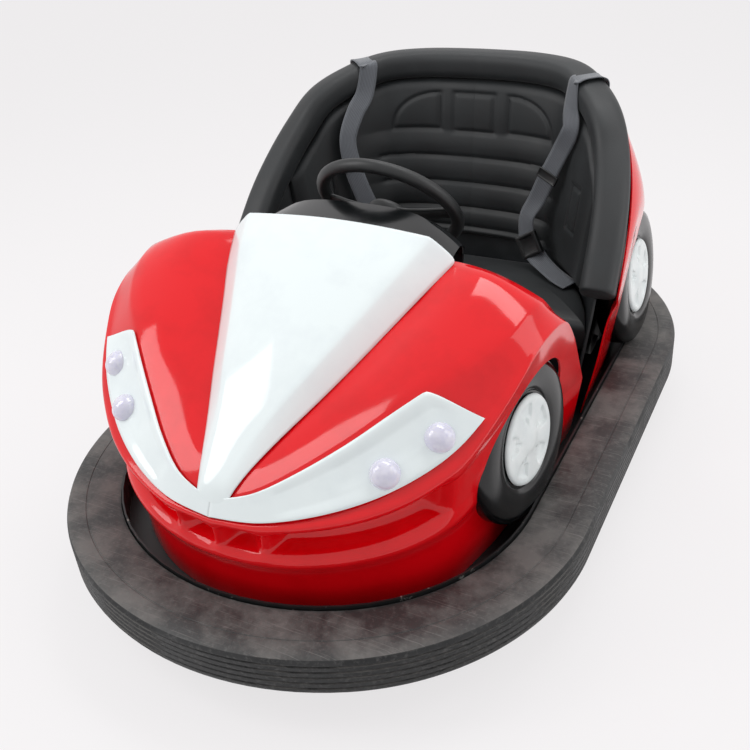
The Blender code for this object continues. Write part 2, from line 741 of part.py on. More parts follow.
def make_dash():
    black = material("dash", BLACK, 0.3)
    wall = 0.005
    bx, by, bz = BONNET[-1][3:6]
    table = ((0.000, 0.735), (0.10, 0.733), (0.195, 0.718), (0.250, 0.672))
    rows = [[], [], [], []]
    for x, z in table:
        rows[0].append(spot(x, by + 0.008, z - 0.012))
        rows[1].append(spot(x * 0.95, DASH_BACK - 0.02, z - 0.004))
        rows[2].append(spot(x * 0.95, DASH_BACK, z - 0.022))
        rows[3].append(spot(x * 0.95, DASH_BACK - 0.035, DASH_LOW))
    dash = finish("dash_cowl", sheet([both_sides(r) for r in rows]), black)
    thicken(dash, wall, 0.0)
    axis = steer_axis()
    centre = Vector(STEER_CENTRE)
    place = Matrix.Translation(centre - axis * 0.15) @ axis_turn(axis)
    cut(dash, cutter("column hole", drum(COLUMN_RADIUS + GAP, 0.3, place, 24)))


def steer_axis():
    return Vector((0.0, math.cos(STEER_TILT), math.sin(STEER_TILT)))


def axis_turn(axis):
    return Vector((0, 0, 1)).rotation_difference(axis).to_matrix().to_4x4()


def make_steering():
    axis = steer_axis()
    centre = Vector(STEER_CENTRE)
    turn = axis_turn(axis)
    rim_profile = []
    for k in range(8):
        a = 2 * math.pi * k / 8
        rim_profile.append((STEER_RIM_RADIUS + STEER_TUBE * math.cos(a), STEER_TUBE * math.sin(a)))
    place = Matrix.Translation(centre) @ turn
    rim = turned(rim_profile, 36, place)
    hub = drum(0.045, 0.030, Matrix.Translation(centre - axis * 0.022) @ turn, 24)
    pieces = [rim, hub]
    for angle in (0.0, math.radians(90), math.radians(180)):
        spoke = box((0.0, -0.020, -0.026), (STEER_RIM_RADIUS, 0.020, -0.016))
        for v in spoke.verts:
            if v.co.x > 0.05:
                v.co.z += 0.020
        bmesh.ops.rotate(spoke, verts=spoke.verts, cent=(0, 0, 0), matrix=Matrix.Rotation(angle, 3, "Z"))
        bmesh.ops.transform(spoke, matrix=place, verts=spoke.verts)
        pieces.append(spoke)
    box_y = DRIVE_Y
    reach = (centre.y - box_y) / axis.y - 0.046
    shaft_len = reach - 0.03
    shaft = drum(STEER_SHAFT, shaft_len, Matrix.Translation(centre - axis * (0.03 + shaft_len / 2)) @ turn, 16)
    pieces.append(shaft)
    union("steering_wheel", pieces, material("wheel grip", BLACK, 0.45))
    start = 0.062
    stop = reach - 0.012
    length = stop - start
    tube_at = Matrix.Translation(centre - axis * (start + length / 2)) @ turn
    bore = STEER_SHAFT + HUB_PLAY
    profile = ((bore, -length / 2), (COLUMN_RADIUS, -length / 2), (COLUMN_RADIUS, length / 2), (bore, length / 2))
    finish("steering_column", turned(profile, 24, tube_at), material("mast steel", STEEL, 0.5, 0.5))
    box_z = (centre - axis * ((centre.y - box_y) / axis.y)).z
    return box_z


def make_mast(box_z):
    """Steel frame over the drive unit; it carries the swivel bearing and the steering box."""
    look = material("mast steel", STEEL, 0.5, 0.5)
    foot = PLATE_TOP + GAP
    y0 = DRIVE_Y - MAST_DEPTH / 2
    y1 = DRIVE_Y + MAST_DEPTH / 2
    pieces = [box((-MAST_HALF, y0, MAST_TOP - MAST_WALL), (MAST_HALF, y1, MAST_TOP))]
    for side in (-1, 1):
        a, b = sorted((side * MAST_HALF, side * (MAST_HALF - MAST_WALL)))
        pieces.append(box((a, y0, foot), (b, y1, MAST_TOP - MAST_WALL / 2)))
        a, b = sorted((side * (MAST_HALF - MAST_WALL / 2), side * (MAST_HALF + 0.035)))
        pieces.append(box((a, y0, foot), (b, y1, foot + MAST_WALL)))
    for side in (-1, 1):
        a, b = sorted((side * 0.050, side * 0.058))
        pieces.append(box((a, y0 + 0.01, MAST_TOP - MAST_WALL / 2), (b, y1 - 0.01, box_z - 0.036)))
    shelf = box((-0.058, y0 + 0.01, box_z - 0.042), (0.058, y1 - 0.01, box_z - 0.036))
    pieces.append(shelf)
    mast = union("steering_mast", pieces, look)
    bore = Matrix.Translation((0, DRIVE_Y, MAST_TOP))
    cut(mast, cutter("swivel bore", drum(SWIVEL_RADIUS + HUB_PLAY, 0.4, bore, 24)))
    top = box_z - 0.036 + GAP
    gearbox = box((-0.040, DRIVE_Y - 0.040, top), (0.040, DRIVE_Y + 0.040, top + 0.075), 0.006)
    case = finish("steering_box", gearbox, material("cast case", GREY, 0.5), smooth=False)
    axis = steer_axis()
    centre = Vector(STEER_CENTRE)
    at = centre - axis * ((centre.y - DRIVE_Y) / axis.y)
    side_bore = drum(STEER_SHAFT + HUB_PLAY, 0.14, Matrix.Translation(at + axis * 0.07) @ axis_turn(axis), 20)
    cut(case, cutter("shaft bore", side_bore))
    low_bore = drum(SWIVEL_RADIUS + HUB_PLAY, 0.05, Matrix.Translation((0, DRIVE_Y, top)), 24)
    cut(case, cutter("king bore", low_bore))
    return top


def make_drive_unit(case_bottom):
    look = material("fork steel", STEEL, 0.5, 0.5)
    half = DRIVE_WHEEL_WIDTH / 2 + DRIVE_ARM_GAP
    y0, y1 = DRIVE_Y - 0.045, DRIVE_Y + 0.045
    pieces = [box((-half - DRIVE_ARM, y0, DRIVE_YOKE_TOP - 0.010), (half + DRIVE_ARM, y1, DRIVE_YOKE_TOP))]
    for side in (-1, 1):
        a, b = sorted((side * half, side * (half + DRIVE_ARM)))
        pieces.append(box((a, y0, DRIVE_WHEEL_RADIUS - 0.030), (b, y1, DRIVE_YOKE_TOP - 0.005)))
    top = case_bottom + 0.014
    low = DRIVE_YOKE_TOP - 0.005
    post = drum(SWIVEL_RADIUS, top - low, Matrix.Translation((0, DRIVE_Y, (top + low) / 2)), 24)
    pieces.append(post)
    collar_low = DRIVE_YOKE_TOP - 0.004
    collar_top = MAST_TOP - MAST_WALL - 0.001
    collar = drum(0.034, collar_top - collar_low,
                  Matrix.Translation((0, DRIVE_Y, (collar_top + collar_low) / 2)), 24)
    pieces.append(collar)
    axle_len = 2 * (half + DRIVE_ARM) + 0.012
    pieces.append(drum(AXLE_RADIUS, axle_len, along_x(0, DRIVE_Y, DRIVE_WHEEL_RADIUS), 20))
    union("drive_fork", pieces, look)
    arm = half + DRIVE_ARM + GAP
    motor = drum(MOTOR_RADIUS, MOTOR_LENGTH, along_x(arm + MOTOR_LENGTH / 2, DRIVE_Y, MOTOR_Z), 28)
    shelf = cutter("axle nut room", drum(AXLE_RADIUS + 0.006, 0.02, along_x(arm + 0.005, DRIVE_Y, DRIVE_WHEEL_RADIUS), 20))
    unit = finish("drive_motor", motor, material("motor case", (0.03, 0.03, 0.035), 0.5))
    cut(unit, shelf)
    wheel = tyre_profile(DRIVE_WHEEL_RADIUS, DRIVE_WHEEL_WIDTH, AXLE_RADIUS + HUB_PLAY)
    finish("drive_wheel", turned(wheel, TYRE_STEPS, along_x(0, DRIVE_Y, DRIVE_WHEEL_RADIUS)),
           material("solid tyre", RUBBER, 0.8))


def tyre_profile(radius, width, bore):
    half = width / 2
    web = half * 0.45
    return ((bore, -half), (bore + 0.012, -half), (bore + 0.016, -web), (radius - 0.030, -web),
            (radius - 0.026, -half), (radius - 0.005, -half), (radius, -half + 0.006), (radius, half - 0.006),
            (radius - 0.005, half), (radius - 0.026, half), (radius - 0.030, web), (bore + 0.016, web),
            (bore + 0.012, half), (bore, half))


def make_rear_axle():
    steel = material("fork steel", STEEL, 0.5, 0.5)
    low = PLATE_TOP - PLATE_WALL - GAP
    half_hub = REAR_WHEEL_WIDTH / 2
    end = REAR_TRACK_HALF + half_hub + 0.014
    pieces = [drum(AXLE_RADIUS, 2 * end, along_x(0, REAR_AXLE_Y, REAR_WHEEL_RADIUS), 20)]
    for side in (-1, 1):
        nut = drum(AXLE_RADIUS + 0.007, 0.010, along_x(side * (end - 0.005), REAR_AXLE_Y, REAR_WHEEL_RADIUS), 20)
        pieces.append(nut)
        x = side * (REAR_TRACK_HALF - half_hub - RUN_CLEARANCE - HANGER_WALL / 2)
        a, b = x - HANGER_WALL / 2, x + HANGER_WALL / 2
        pieces.append(box((a, REAR_AXLE_Y - 0.045, REAR_WHEEL_RADIUS - 0.022), (b, REAR_AXLE_Y + 0.045, low)))
        a, b = sorted((x, x - side * 0.050))
        pieces.append(box((a, REAR_AXLE_Y - 0.045, low - 0.005), (b, REAR_AXLE_Y + 0.045, low)))
        collar = drum(AXLE_RADIUS + 0.005, RUN_CLEARANCE - 0.002,
                      along_x(x + side * (HANGER_WALL / 2 + RUN_CLEARANCE / 2 - 0.001), REAR_AXLE_Y, REAR_WHEEL_RADIUS), 20)
        pieces.append(collar)
    union("rear_axle", pieces, steel)
    profile = tyre_profile(REAR_WHEEL_RADIUS, REAR_WHEEL_WIDTH, AXLE_RADIUS + HUB_PLAY)
    for side, word in ((1, "left"), (-1, "right")):
        place = along_x(side * REAR_TRACK_HALF, REAR_AXLE_Y, REAR_WHEEL_RADIUS)
        finish("rear_wheel_" + word, turned(profile, TYRE_STEPS, place), material("solid tyre", RUBBER, 0.8))


def hang(pivot_name, place, names):
    """Parent the pieces of a moving body to an empty on its joint's axis."""
    pivot = bpy.data.objects.new(pivot_name, None)
    pivot.location = place
    bpy.context.collection.objects.link(pivot)
    for name in names:
        piece = bpy.data.objects[name]
        piece.parent = pivot
        piece.matrix_parent_inverse = Matrix.Translation(-place)


def make_pivots():
    hang("steering_pivot", Vector(STEER_CENTRE), ("steering_wheel",))
    hang("drive_swivel_pivot", Vector((0, DRIVE_Y, DRIVE_YOKE_TOP)), ("drive_fork", "drive_motor"))
    hang("drive_wheel_pivot", Vector((0, DRIVE_Y, DRIVE_WHEEL_RADIUS)), ("drive_wheel",))
    for side, word in ((1, "left"), (-1, "right")):
        place = Vector((side * REAR_TRACK_HALF, REAR_AXLE_Y, REAR_WHEEL_RADIUS))
        hang("rear_wheel_pivot_" + word, place, ("rear_wheel_" + word,))


clear_scene()
make_ring()
make_rim()
make_plate()
make_front_body()
make_lamps()
make_bonnet()
make_road_wheels()
make_bolster()
make_tub()
make_pad()
make_seat()
make_rear_body()
make_sills()
make_dash()
box_height = make_steering()
case_low = make_mast(box_height)
make_drive_unit(case_low)
make_rear_axle()
make_pivots()
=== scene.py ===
# Battery bumper car: the finished surfaces, upholstery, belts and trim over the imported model.
import json
import math
import bpy
import bmesh
from mathutils import Matrix, Vector


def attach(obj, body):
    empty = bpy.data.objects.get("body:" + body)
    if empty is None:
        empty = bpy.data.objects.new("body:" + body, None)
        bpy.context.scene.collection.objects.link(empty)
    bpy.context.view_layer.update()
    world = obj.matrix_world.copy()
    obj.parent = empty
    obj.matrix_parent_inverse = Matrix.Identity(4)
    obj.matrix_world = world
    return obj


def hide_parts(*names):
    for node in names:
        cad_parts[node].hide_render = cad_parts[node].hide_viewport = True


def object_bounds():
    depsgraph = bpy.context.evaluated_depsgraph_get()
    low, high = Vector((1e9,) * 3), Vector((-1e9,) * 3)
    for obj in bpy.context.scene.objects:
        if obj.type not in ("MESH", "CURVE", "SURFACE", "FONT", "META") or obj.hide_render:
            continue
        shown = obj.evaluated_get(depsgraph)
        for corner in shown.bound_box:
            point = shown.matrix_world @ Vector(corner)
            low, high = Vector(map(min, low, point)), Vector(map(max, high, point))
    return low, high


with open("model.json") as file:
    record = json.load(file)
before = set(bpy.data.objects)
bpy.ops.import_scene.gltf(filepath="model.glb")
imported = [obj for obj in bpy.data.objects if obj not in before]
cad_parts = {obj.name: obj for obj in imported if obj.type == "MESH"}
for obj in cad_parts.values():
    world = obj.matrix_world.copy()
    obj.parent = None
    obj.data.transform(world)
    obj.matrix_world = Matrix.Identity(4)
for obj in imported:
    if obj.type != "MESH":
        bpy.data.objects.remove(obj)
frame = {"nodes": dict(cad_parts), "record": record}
cadLow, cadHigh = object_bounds()
print("frame loaded")

scene = bpy.context.scene


# ---- camera, floor and lights ----
studio = {
    "cameraPlace": (0.967, -1.813, 1.504),
    "cameraTurn": -29.781,      # degrees, about the upright
    "cameraPitch": 32.065,      # degrees below level
    "cameraRoll": -5.222,
    "lens": 45.126,
    "floorColour": "F6F4F5",
    "keyPower": 38.0,
    "fillPower": 20.0,
    "topPower": 26.0,
    "ambient": 0.62,
    "paperGlow": 0.80,          # share of the paper that is plain white to the eye
}


def hexColour(code):
    channels = [int(code[i:i + 2], 16) / 255 for i in (0, 2, 4)]
    linear = [c / 12.92 if c <= 0.04045 else ((c + 0.055) / 1.055) ** 2.4 for c in channels]
    return (*linear, 1.0)


def addNode(tree, kind, settings=None, links=None):
    # settings name a socket or a property, links name a socket and what feeds it
    node = tree.nodes.new(kind)
    for key, value in (settings or {}).items():
        if isinstance(key, int) or key in node.inputs:
            node.inputs[key].default_value = value
        else:
            setattr(node, key, value)
    for key, source in (links or {}).items():
        tree.links.new(source, node.inputs[key])
    return node


def makeCamera():
    yaw = math.radians(studio["cameraTurn"])
    pitch = math.radians(studio["cameraPitch"])
    roll = math.radians(studio["cameraRoll"])
    ahead = Vector((math.sin(yaw) * math.cos(pitch), math.cos(yaw) * math.cos(pitch), -math.sin(pitch)))
    right = Vector((math.cos(yaw), -math.sin(yaw), 0.0))
    up = right.cross(ahead)
    rolledRight = right * math.cos(roll) + up * math.sin(roll)
    rolledUp = up * math.cos(roll) - right * math.sin(roll)
    data = bpy.data.cameras.new("camera")
    data.sensor_width = 36.0
    data.lens = studio["lens"]
    camera = bpy.data.objects.new("camera", data)
    scene.collection.objects.link(camera)
    turn = Matrix((rolledRight, rolledUp, -ahead)).transposed().to_4x4()
    camera.matrix_world = Matrix.Translation(studio["cameraPlace"]) @ turn
    scene.camera = camera


def makeLamp(name, place, target, size, power, colour):
    data = bpy.data.lights.new(name, "AREA")
    data.shape = "RECTANGLE"
    data.size, data.size_y = size
    data.energy = power
    data.color = hexColour(colour)[:3]
    lamp = bpy.data.objects.new(name, data)
    scene.collection.objects.link(lamp)
    lamp.location = place
    lamp.rotation_euler = (Vector(target) - Vector(place)).to_track_quat("-Z", "Y").to_euler()


def seenDirectly(tree):
    # 1 for rays from the camera, through glass or off a polished face, else 0
    path = addNode(tree, "ShaderNodeLightPath")
    clear = addNode(tree, "ShaderNodeMath", {"operation": "MAXIMUM"},
                    {0: path.outputs["Is Camera Ray"], 1: path.outputs["Is Transmission Ray"]})
    seen = addNode(tree, "ShaderNodeMath", {"operation": "MAXIMUM"},
                   {0: clear.outputs[0], 1: path.outputs["Is Glossy Ray"]})
    return seen.outputs[0]


def makeStudio():
    bm = bmesh.new()
    bmesh.ops.create_grid(bm, x_segments=1, y_segments=1, size=30.0)
    mesh = bpy.data.meshes.new("studio_floor")
    bm.to_mesh(mesh)
    bm.free()
    floor = bpy.data.objects.new("studio_floor", mesh)
    scene.collection.objects.link(floor)
    # seamless paper: white to the eye and to reflections, plain diffuse to the light
    paper = bpy.data.materials.new("seamlessPaper")
    paper.use_nodes = True
    tree = paper.node_tree
    shader = tree.nodes["Principled BSDF"]
    shader.inputs["Base Color"].default_value = hexColour(studio["floorColour"])
    shader.inputs["Roughness"].default_value = 0.9
    shader.inputs["Specular IOR Level"].default_value = 0.1
    share = addNode(tree, "ShaderNodeMath", {"operation": "MULTIPLY", 1: studio["paperGlow"]},
                    {0: seenDirectly(tree)})
    glow = addNode(tree, "ShaderNodeEmission", {"Color": hexColour(studio["floorColour"]), "Strength": 1.0})
    mixed = addNode(tree, "ShaderNodeMixShader", None,
                    {0: share.outputs[0], 1: shader.outputs["BSDF"], 2: glow.outputs["Emission"]})
    tree.links.new(mixed.outputs["Shader"], tree.nodes["Material Output"].inputs["Surface"])
    mesh.materials.append(paper)
    world = bpy.data.worlds.new("studioAir")
    scene.world = world
    world.use_nodes = True
    tree = world.node_tree
    tree.nodes.clear()
    soft = addNode(tree, "ShaderNodeBackground",
                   {"Color": hexColour("FFFFFF"), "Strength": studio["ambient"]})
    white = addNode(tree, "ShaderNodeBackground",
                    {"Color": hexColour(studio["floorColour"]), "Strength": 1.0})
    mixed = addNode(tree, "ShaderNodeMixShader", None,
                    {0: seenDirectly(tree), 1: soft.outputs[0], 2: white.outputs[0]})
    addNode(tree, "ShaderNodeOutputWorld", None, {"Surface": mixed.outputs[0]})
    makeLamp("keyLamp", (-2.2, -1.6, 2.6), (0, 0, 0.3), (1.2, 2.6), studio["keyPower"], "FFFFFF")
    makeLamp("fillLamp", (2.6, 0.6, 2.0), (0, 0, 0.4), (1.4, 2.4), studio["fillPower"], "FFFFFF")
    makeLamp("topLamp", (0.2, 0.9, 3.0), (0, -0.1, 0.4), (2.2, 0.8), studio["topPower"], "FFFFFF")
    scene.view_settings.view_transform = "Standard"


makeCamera()
makeStudio()
print("studio made")


# ---- materials ----
def startMaterial(name):
    made = bpy.data.materials.new(name)
    made.use_nodes = True
    tree = made.node_tree
    coords = addNode(tree, "ShaderNodeTexCoord")
    return made, tree, tree.nodes["Principled BSDF"], coords.outputs["Object"]


def speckle(tree, place, size, detail, low, high):
    # cloudy mask from 0 to 1 with blotches of the given size in metres
    cloud = addNode(tree, "ShaderNodeTexNoise", {"Scale": 1.0 / size, "Detail": detail, "Roughness": 0.6},
                    {"Vector": place})
    mask = addNode(tree, "ShaderNodeMapRange", {"From Min": low, "From Max": high},
                   {"Value": cloud.outputs["Fac"]})
    return mask.outputs["Result"]


def blendColours(tree, share, first, second):
    settings, links = {}, {"Fac": share}
    for key, value in (("Color1", first), ("Color2", second)):
        if isinstance(value, str):
            settings[key] = hexColour(value)
        else:
            links[key] = value
    return addNode(tree, "ShaderNodeMixRGB", settings, links).outputs["Color"]


def roughen(tree, shader, share, low, high):
    spread = addNode(tree, "ShaderNodeMapRange", {"To Min": low, "To Max": high}, {"Value": share})
    tree.links.new(spread.outputs["Result"], shader.inputs["Roughness"])


def bump(tree, shader, height, depth, strength=1.0):
    lift = addNode(tree, "ShaderNodeBump", {"Strength": strength, "Distance": depth}, {"Height": height})
    tree.links.new(lift.outputs["Normal"], shader.inputs["Normal"])
    return lift


def gelcoat(name, colour, deeper, coat):
    # polished gelcoat on moulded glass fibre: deep gloss, faint orange peel, handling haze
    made, tree, shader, place = startMaterial(name)
    haze = speckle(tree, place, 0.090, 4.0, 0.45, 0.75)
    tree.links.new(blendColours(tree, haze, colour, deeper), shader.inputs["Base Color"])
    roughen(tree, shader, haze, 0.07, 0.13)
    peel = addNode(tree, "ShaderNodeTexNoise", {"Scale": 1 / 0.006, "Detail": 1.0}, {"Vector": place})
    bump(tree, shader, peel.outputs["Fac"], 0.0001, 0.35)
    shader.inputs["Specular IOR Level"].default_value = 0.38
    shader.inputs["Coat Weight"].default_value = coat
    shader.inputs["Coat Roughness"].default_value = 0.03
    return made


def scratches(tree, place, turn, along, across, low, high):
    # long thin marks: a noise stretched along one direction of the floor plane
    stretch = (1 / along, 1 / across, 1 / along)
    turned = addNode(tree, "ShaderNodeMapping", {"Rotation": (0.0, 0.0, turn), "Scale": stretch},
                     {"Vector": place})
    marks = addNode(tree, "ShaderNodeTexNoise", {"Scale": 1.0, "Detail": 3.0},
                    {"Vector": turned.outputs["Vector"]})
    mask = addNode(tree, "ShaderNodeMapRange", {"From Min": low, "From Max": high},
                   {"Value": marks.outputs["Fac"]})
    return mask.outputs["Result"]


def wornRubber():
    # carbon-black moulded rubber after years of knocks: grey rubbed bands and scratches on top, and painted
    # shade that makes the sides darker than the top
    made, tree, shader, place = startMaterial("wornBumperRubber")
    rubbed = speckle(tree, place, 0.110, 5.0, 0.42, 0.64)
    fine = speckle(tree, place, 0.009, 5.0, 0.52, 0.74)
    normal = addNode(tree, "ShaderNodeNewGeometry")
    split = addNode(tree, "ShaderNodeSeparateXYZ", None, {"Vector": normal.outputs["Normal"]})
    upFacingShadeAndDust = addNode(tree, "ShaderNodeMapRange", {"From Min": 0.35, "From Max": 0.90},
                     {"Value": split.outputs["Z"]})
    lines = scratches(tree, place, 0.5, 0.110, 0.0030, 0.62, 0.70)
    crossed = scratches(tree, place, -0.7, 0.080, 0.0026, 0.64, 0.72)
    both = addNode(tree, "ShaderNodeMath", {"operation": "MAXIMUM"}, {0: lines, 1: crossed})
    worn = addNode(tree, "ShaderNodeMath", {"operation": "MULTIPLY_ADD", 1: 0.55},
                   {0: both.outputs[0], 2: rubbed})
    # the same up-facing mask also keeps the rubbed wear and dust to the top faces
    onTop = addNode(tree, "ShaderNodeMath", {"operation": "MULTIPLY"},
                    {0: upFacingShadeAndDust.outputs["Result"], 1: worn.outputs[0]})
    # painted shade: the colour goes from dark on the sides to lighter grey on the top by which way the face
    # points alone, not by wear or dust
    base = blendColours(tree, upFacingShadeAndDust.outputs["Result"], "1B1C1D", "333333")
    dusted = blendColours(tree, onTop.outputs[0], base, "6A6866")
    flecks = addNode(tree, "ShaderNodeMath", {"operation": "MULTIPLY", 1: 0.22}, {0: fine})
    tree.links.new(blendColours(tree, flecks.outputs[0], dusted, "8A8886"), shader.inputs["Base Color"])
    roughen(tree, shader, rubbed, 0.50, 0.78)
    grit = addNode(tree, "ShaderNodeTexNoise", {"Scale": 1 / 0.004, "Detail": 6.0}, {"Vector": place})
    bump(tree, shader, grit.outputs["Fac"], 0.0006, 0.5)
    return made


def paintedSteel(name, colour, bare, chipSize, low):
    # brushed-on black enamel over steel, worn through to grey metal in chips
    made, tree, shader, place = startMaterial(name)
    chips = speckle(tree, place, chipSize, 8.0, low, low + 0.05)
    tree.links.new(blendColours(tree, chips, colour, bare), shader.inputs["Base Color"])
    roughen(tree, shader, chips, 0.42, 0.6)
    metal = addNode(tree, "ShaderNodeMath", {"operation": "MULTIPLY", 1: 0.7}, {0: chips})
    tree.links.new(metal.outputs[0], shader.inputs["Metallic"])
    brush = addNode(tree, "ShaderNodeTexNoise", {"Scale": 1 / 0.012, "Detail": 3.0}, {"Vector": place})
    bump(tree, shader, brush.outputs["Fac"], 0.0003, 0.4)
    return made


def upholsteryVinyl():
    # expanded PVC leathercloth: soft sheen over a fine pebble grain about 2 mm across
    made, tree, shader, place = startMaterial("upholsteryVinyl")
    tone = speckle(tree, place, 0.12, 3.0, 0.4, 0.7)
    tree.links.new(blendColours(tree, tone, "181B1D", "1F2325"), shader.inputs["Base Color"])
    roughen(tree, shader, tone, 0.50, 0.60)
    pebble = addNode(tree, "ShaderNodeTexVoronoi", {"Scale": 1 / 0.0022, "feature": "SMOOTH_F1"},
                     {"Vector": place})
    bump(tree, shader, pebble.outputs["Distance"], 0.0003, 0.45)
    shader.inputs["Sheen Weight"].default_value = 0.06
    return made


def mouldedPlastic(name, colour, lighter, rough, grain, depth):
    # injection or vacuum moulded plastic with a spark-eroded texture
    made, tree, shader, place = startMaterial(name)
    tone = speckle(tree, place, 0.07, 4.0, 0.42, 0.7)
    tree.links.new(blendColours(tree, tone, colour, lighter), shader.inputs["Base Color"])
    roughen(tree, shader, tone, rough, min(1.0, rough + 0.10))
    pores = addNode(tree, "ShaderNodeTexNoise", {"Scale": 1 / grain, "Detail": 2.0}, {"Vector": place})
    bump(tree, shader, pores.outputs["Fac"], depth, 0.5)
    return made


def milkyLens():
    # milky acrylic dome: light goes in and glows a little, cool violet grey in its shade
    made, tree, shader, place = startMaterial("milkyAcrylic")
    tone = speckle(tree, place, 0.02, 2.0, 0.4, 0.7)
    tree.links.new(blendColours(tree, tone, "D8D6E6", "E6E4F0"), shader.inputs["Base Color"])
    roughen(tree, shader, tone, 0.16, 0.24)
    shader.inputs["Subsurface Weight"].default_value = 0.5
    shader.inputs["Subsurface Radius"].default_value = (0.01, 0.01, 0.012)
    shader.inputs["Coat Weight"].default_value = 0.6
    return made


def beltWebbing():
    # woven polyester seat webbing: lengthwise ribs crossed by finer picks
    made, tree, shader = startMaterial("polyesterWebbing")[:3]
    uv = addNode(tree, "ShaderNodeUVMap", {"uv_map": "ribbon"})
    split = addNode(tree, "ShaderNodeSeparateXYZ", None, {"Vector": uv.outputs["UV"]})
    rib = addNode(tree, "ShaderNodeMath", {"operation": "MULTIPLY", 1: 2 * math.pi / 0.0042},
                  {0: split.outputs["X"]})   # drawn 4.2 mm apart so that the ribs still show
    wave = addNode(tree, "ShaderNodeMath", {"operation": "SINE"}, {0: rib.outputs[0]})
    pick = addNode(tree, "ShaderNodeMath", {"operation": "MULTIPLY", 1: 2 * math.pi / 0.0026},
                   {0: split.outputs["Y"]})
    cross = addNode(tree, "ShaderNodeMath", {"operation": "SINE"}, {0: pick.outputs[0]})
    weave = addNode(tree, "ShaderNodeMath", {"operation": "MULTIPLY_ADD", 1: 0.35},
                    {0: cross.outputs[0], 2: wave.outputs[0]})
    share = addNode(tree, "ShaderNodeMapRange", {"From Min": -1.35, "From Max": 1.35},
                    {"Value": weave.outputs[0]})
    colour = blendColours(tree, share.outputs["Result"], "43464B", "686C73")
    tree.links.new(colour, shader.inputs["Base Color"])
    bump(tree, shader, share.outputs["Result"], 0.0006, 0.7)
    shader.inputs["Roughness"].default_value = 0.55
    shader.inputs["Sheen Weight"].default_value = 0.3
    return made


finish = {
    "red": gelcoat("redGelcoat", "E40613", "D8040F", 0.12),
    "white": gelcoat("whiteGelcoat", "EEF6F7", "E8F0F2", 0.25),
    "rubber": wornRubber(),
    "rim": paintedSteel("blackEnamelRim", "151617", "8B8A86", 0.020, 0.62),
    "chassis": paintedSteel("blackEnamelChassis", "17181A", "4A4946", 0.050, 0.66),
    "shaft": paintedSteel("blackEnamelShaft", "202224", "6E6D6A", 0.030, 0.68),
    "casting": paintedSteel("greyEnamelCasting", "54575A", "8A8A88", 0.030, 0.68),
    "vinyl": upholsteryVinyl(),
    "tub": mouldedPlastic("blackMouldedTub", "1C1F21", "24272A", 0.45, 0.0030, 0.0002),
    "dash": mouldedPlastic("blackGlossDash", "0E1011", "141618", 0.12, 0.0050, 0.00005),
    "grip": mouldedPlastic("softBlackGrip", "17191A", "202223", 0.42, 0.0016, 0.0002),
    "tyre": mouldedPlastic("blackGelcoatTyre", "0D0E0F", "17181A", 0.16, 0.0060, 0.0001),
    "cap": mouldedPlastic("whiteSatinCap", "E9EEEE", "DCE3E4", 0.28, 0.0050, 0.0001),
    "battery": mouldedPlastic("batteryCase", "2A2C30", "33363A", 0.5, 0.0030, 0.0002),
    "solid": mouldedPlastic("solidRubberTyre", "1A1A1B", "2C2B2A", 0.8, 0.0040, 0.0005),
    "motor": mouldedPlastic("motorEnamel", "17181B", "222327", 0.4, 0.0040, 0.0001),
    "lens": milkyLens(),
    "webbing": beltWebbing(),
    "buckle": mouldedPlastic("blackNylonBuckle", "141516", "1E2021", 0.35, 0.0020, 0.0001),
}

nodeFinish = {
    "bumper_ring": "rubber", "bumper_rim": "rim", "chassis_plate": "chassis", "front_body": "red",
    "rear_body": "red", "bonnet_panel": "white", "headlamp_housing_left": "white",
    "headlamp_housing_right": "white", "seat_bolster": "vinyl", "backrest_pad": "vinyl",
    "seat_cushion": "vinyl", "seat_tub": "tub", "seat_base": "tub", "battery_block": "battery",
    "sill_left": "tub", "sill_right": "tub", "dash_cowl": "dash", "steering_wheel": "grip",
    "steering_column": "shaft", "steering_mast": "shaft", "steering_box": "casting",
    "drive_fork": "shaft", "drive_motor": "motor", "drive_wheel": "solid", "rear_axle": "shaft",
    "rear_wheel_left": "solid", "rear_wheel_right": "solid",
}
for side in ("left", "right"):
    for end in ("front", "rear"):
        nodeFinish["road_wheel_%s_%s" % (end, side)] = "tyre"
        nodeFinish["hub_cap_%s_%s" % (end, side)] = "cap"
    for where in ("inner", "outer"):
        nodeFinish["lamp_lens_%s_%s" % (side, where)] = "lens"

for nodeName, key in nodeFinish.items():
    mesh = frame["nodes"][nodeName].data
    mesh.materials.clear()
    mesh.materials.append(finish[key])
print("materials made")


# ---- helpers for new pieces ----
def placePiece(name, bm, key, body="chassis", stands=(), smoothAngle=35.0):
    mesh = bpy.data.meshes.new(name)
    bm.to_mesh(mesh)
    bm.free()
    piece = bpy.data.objects.new(name, mesh)
    scene.collection.objects.link(piece)
    mesh.materials.append(finish[key])
    mesh.shade_smooth()
    mesh.set_sharp_from_angle(angle=math.radians(smoothAngle))
    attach(piece, body)
    if stands:
        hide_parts(*stands)
    return piece


def copyNode(nodeName):
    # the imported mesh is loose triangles, so the copy is merged and its quads are put back
    bm = bmesh.new()
    bm.from_mesh(frame["nodes"][nodeName].data)
    bmesh.ops.remove_doubles(bm, verts=bm.verts, dist=0.00002)
    bmesh.ops.join_triangles(bm, faces=bm.faces, angle_face_threshold=math.radians(40),
                             angle_shape_threshold=math.radians(60))
    return bm


def softenNode(nodeName, name, levels, creaseAngle, crease=1.0):
    bm = copyNode(nodeName)
    layer = bm.edges.layers.float.new("crease_edge")
    for edge in bm.edges:
        if len(edge.link_faces) == 2 and edge.calc_face_angle(0.0) > math.radians(creaseAngle):
            edge[layer] = crease
    piece = placePiece(name, bm, nodeFinish[nodeName], bodyOf(nodeName), (nodeName,), creaseAngle)
    addModifier(piece, "SUBSURF", levels=levels, render_levels=levels)
    return piece


def bodyOf(nodeName):
    members = frame["record"]["behaviour"]["bodies"]
    return next(body for body, names in members.items() if nodeName in names)


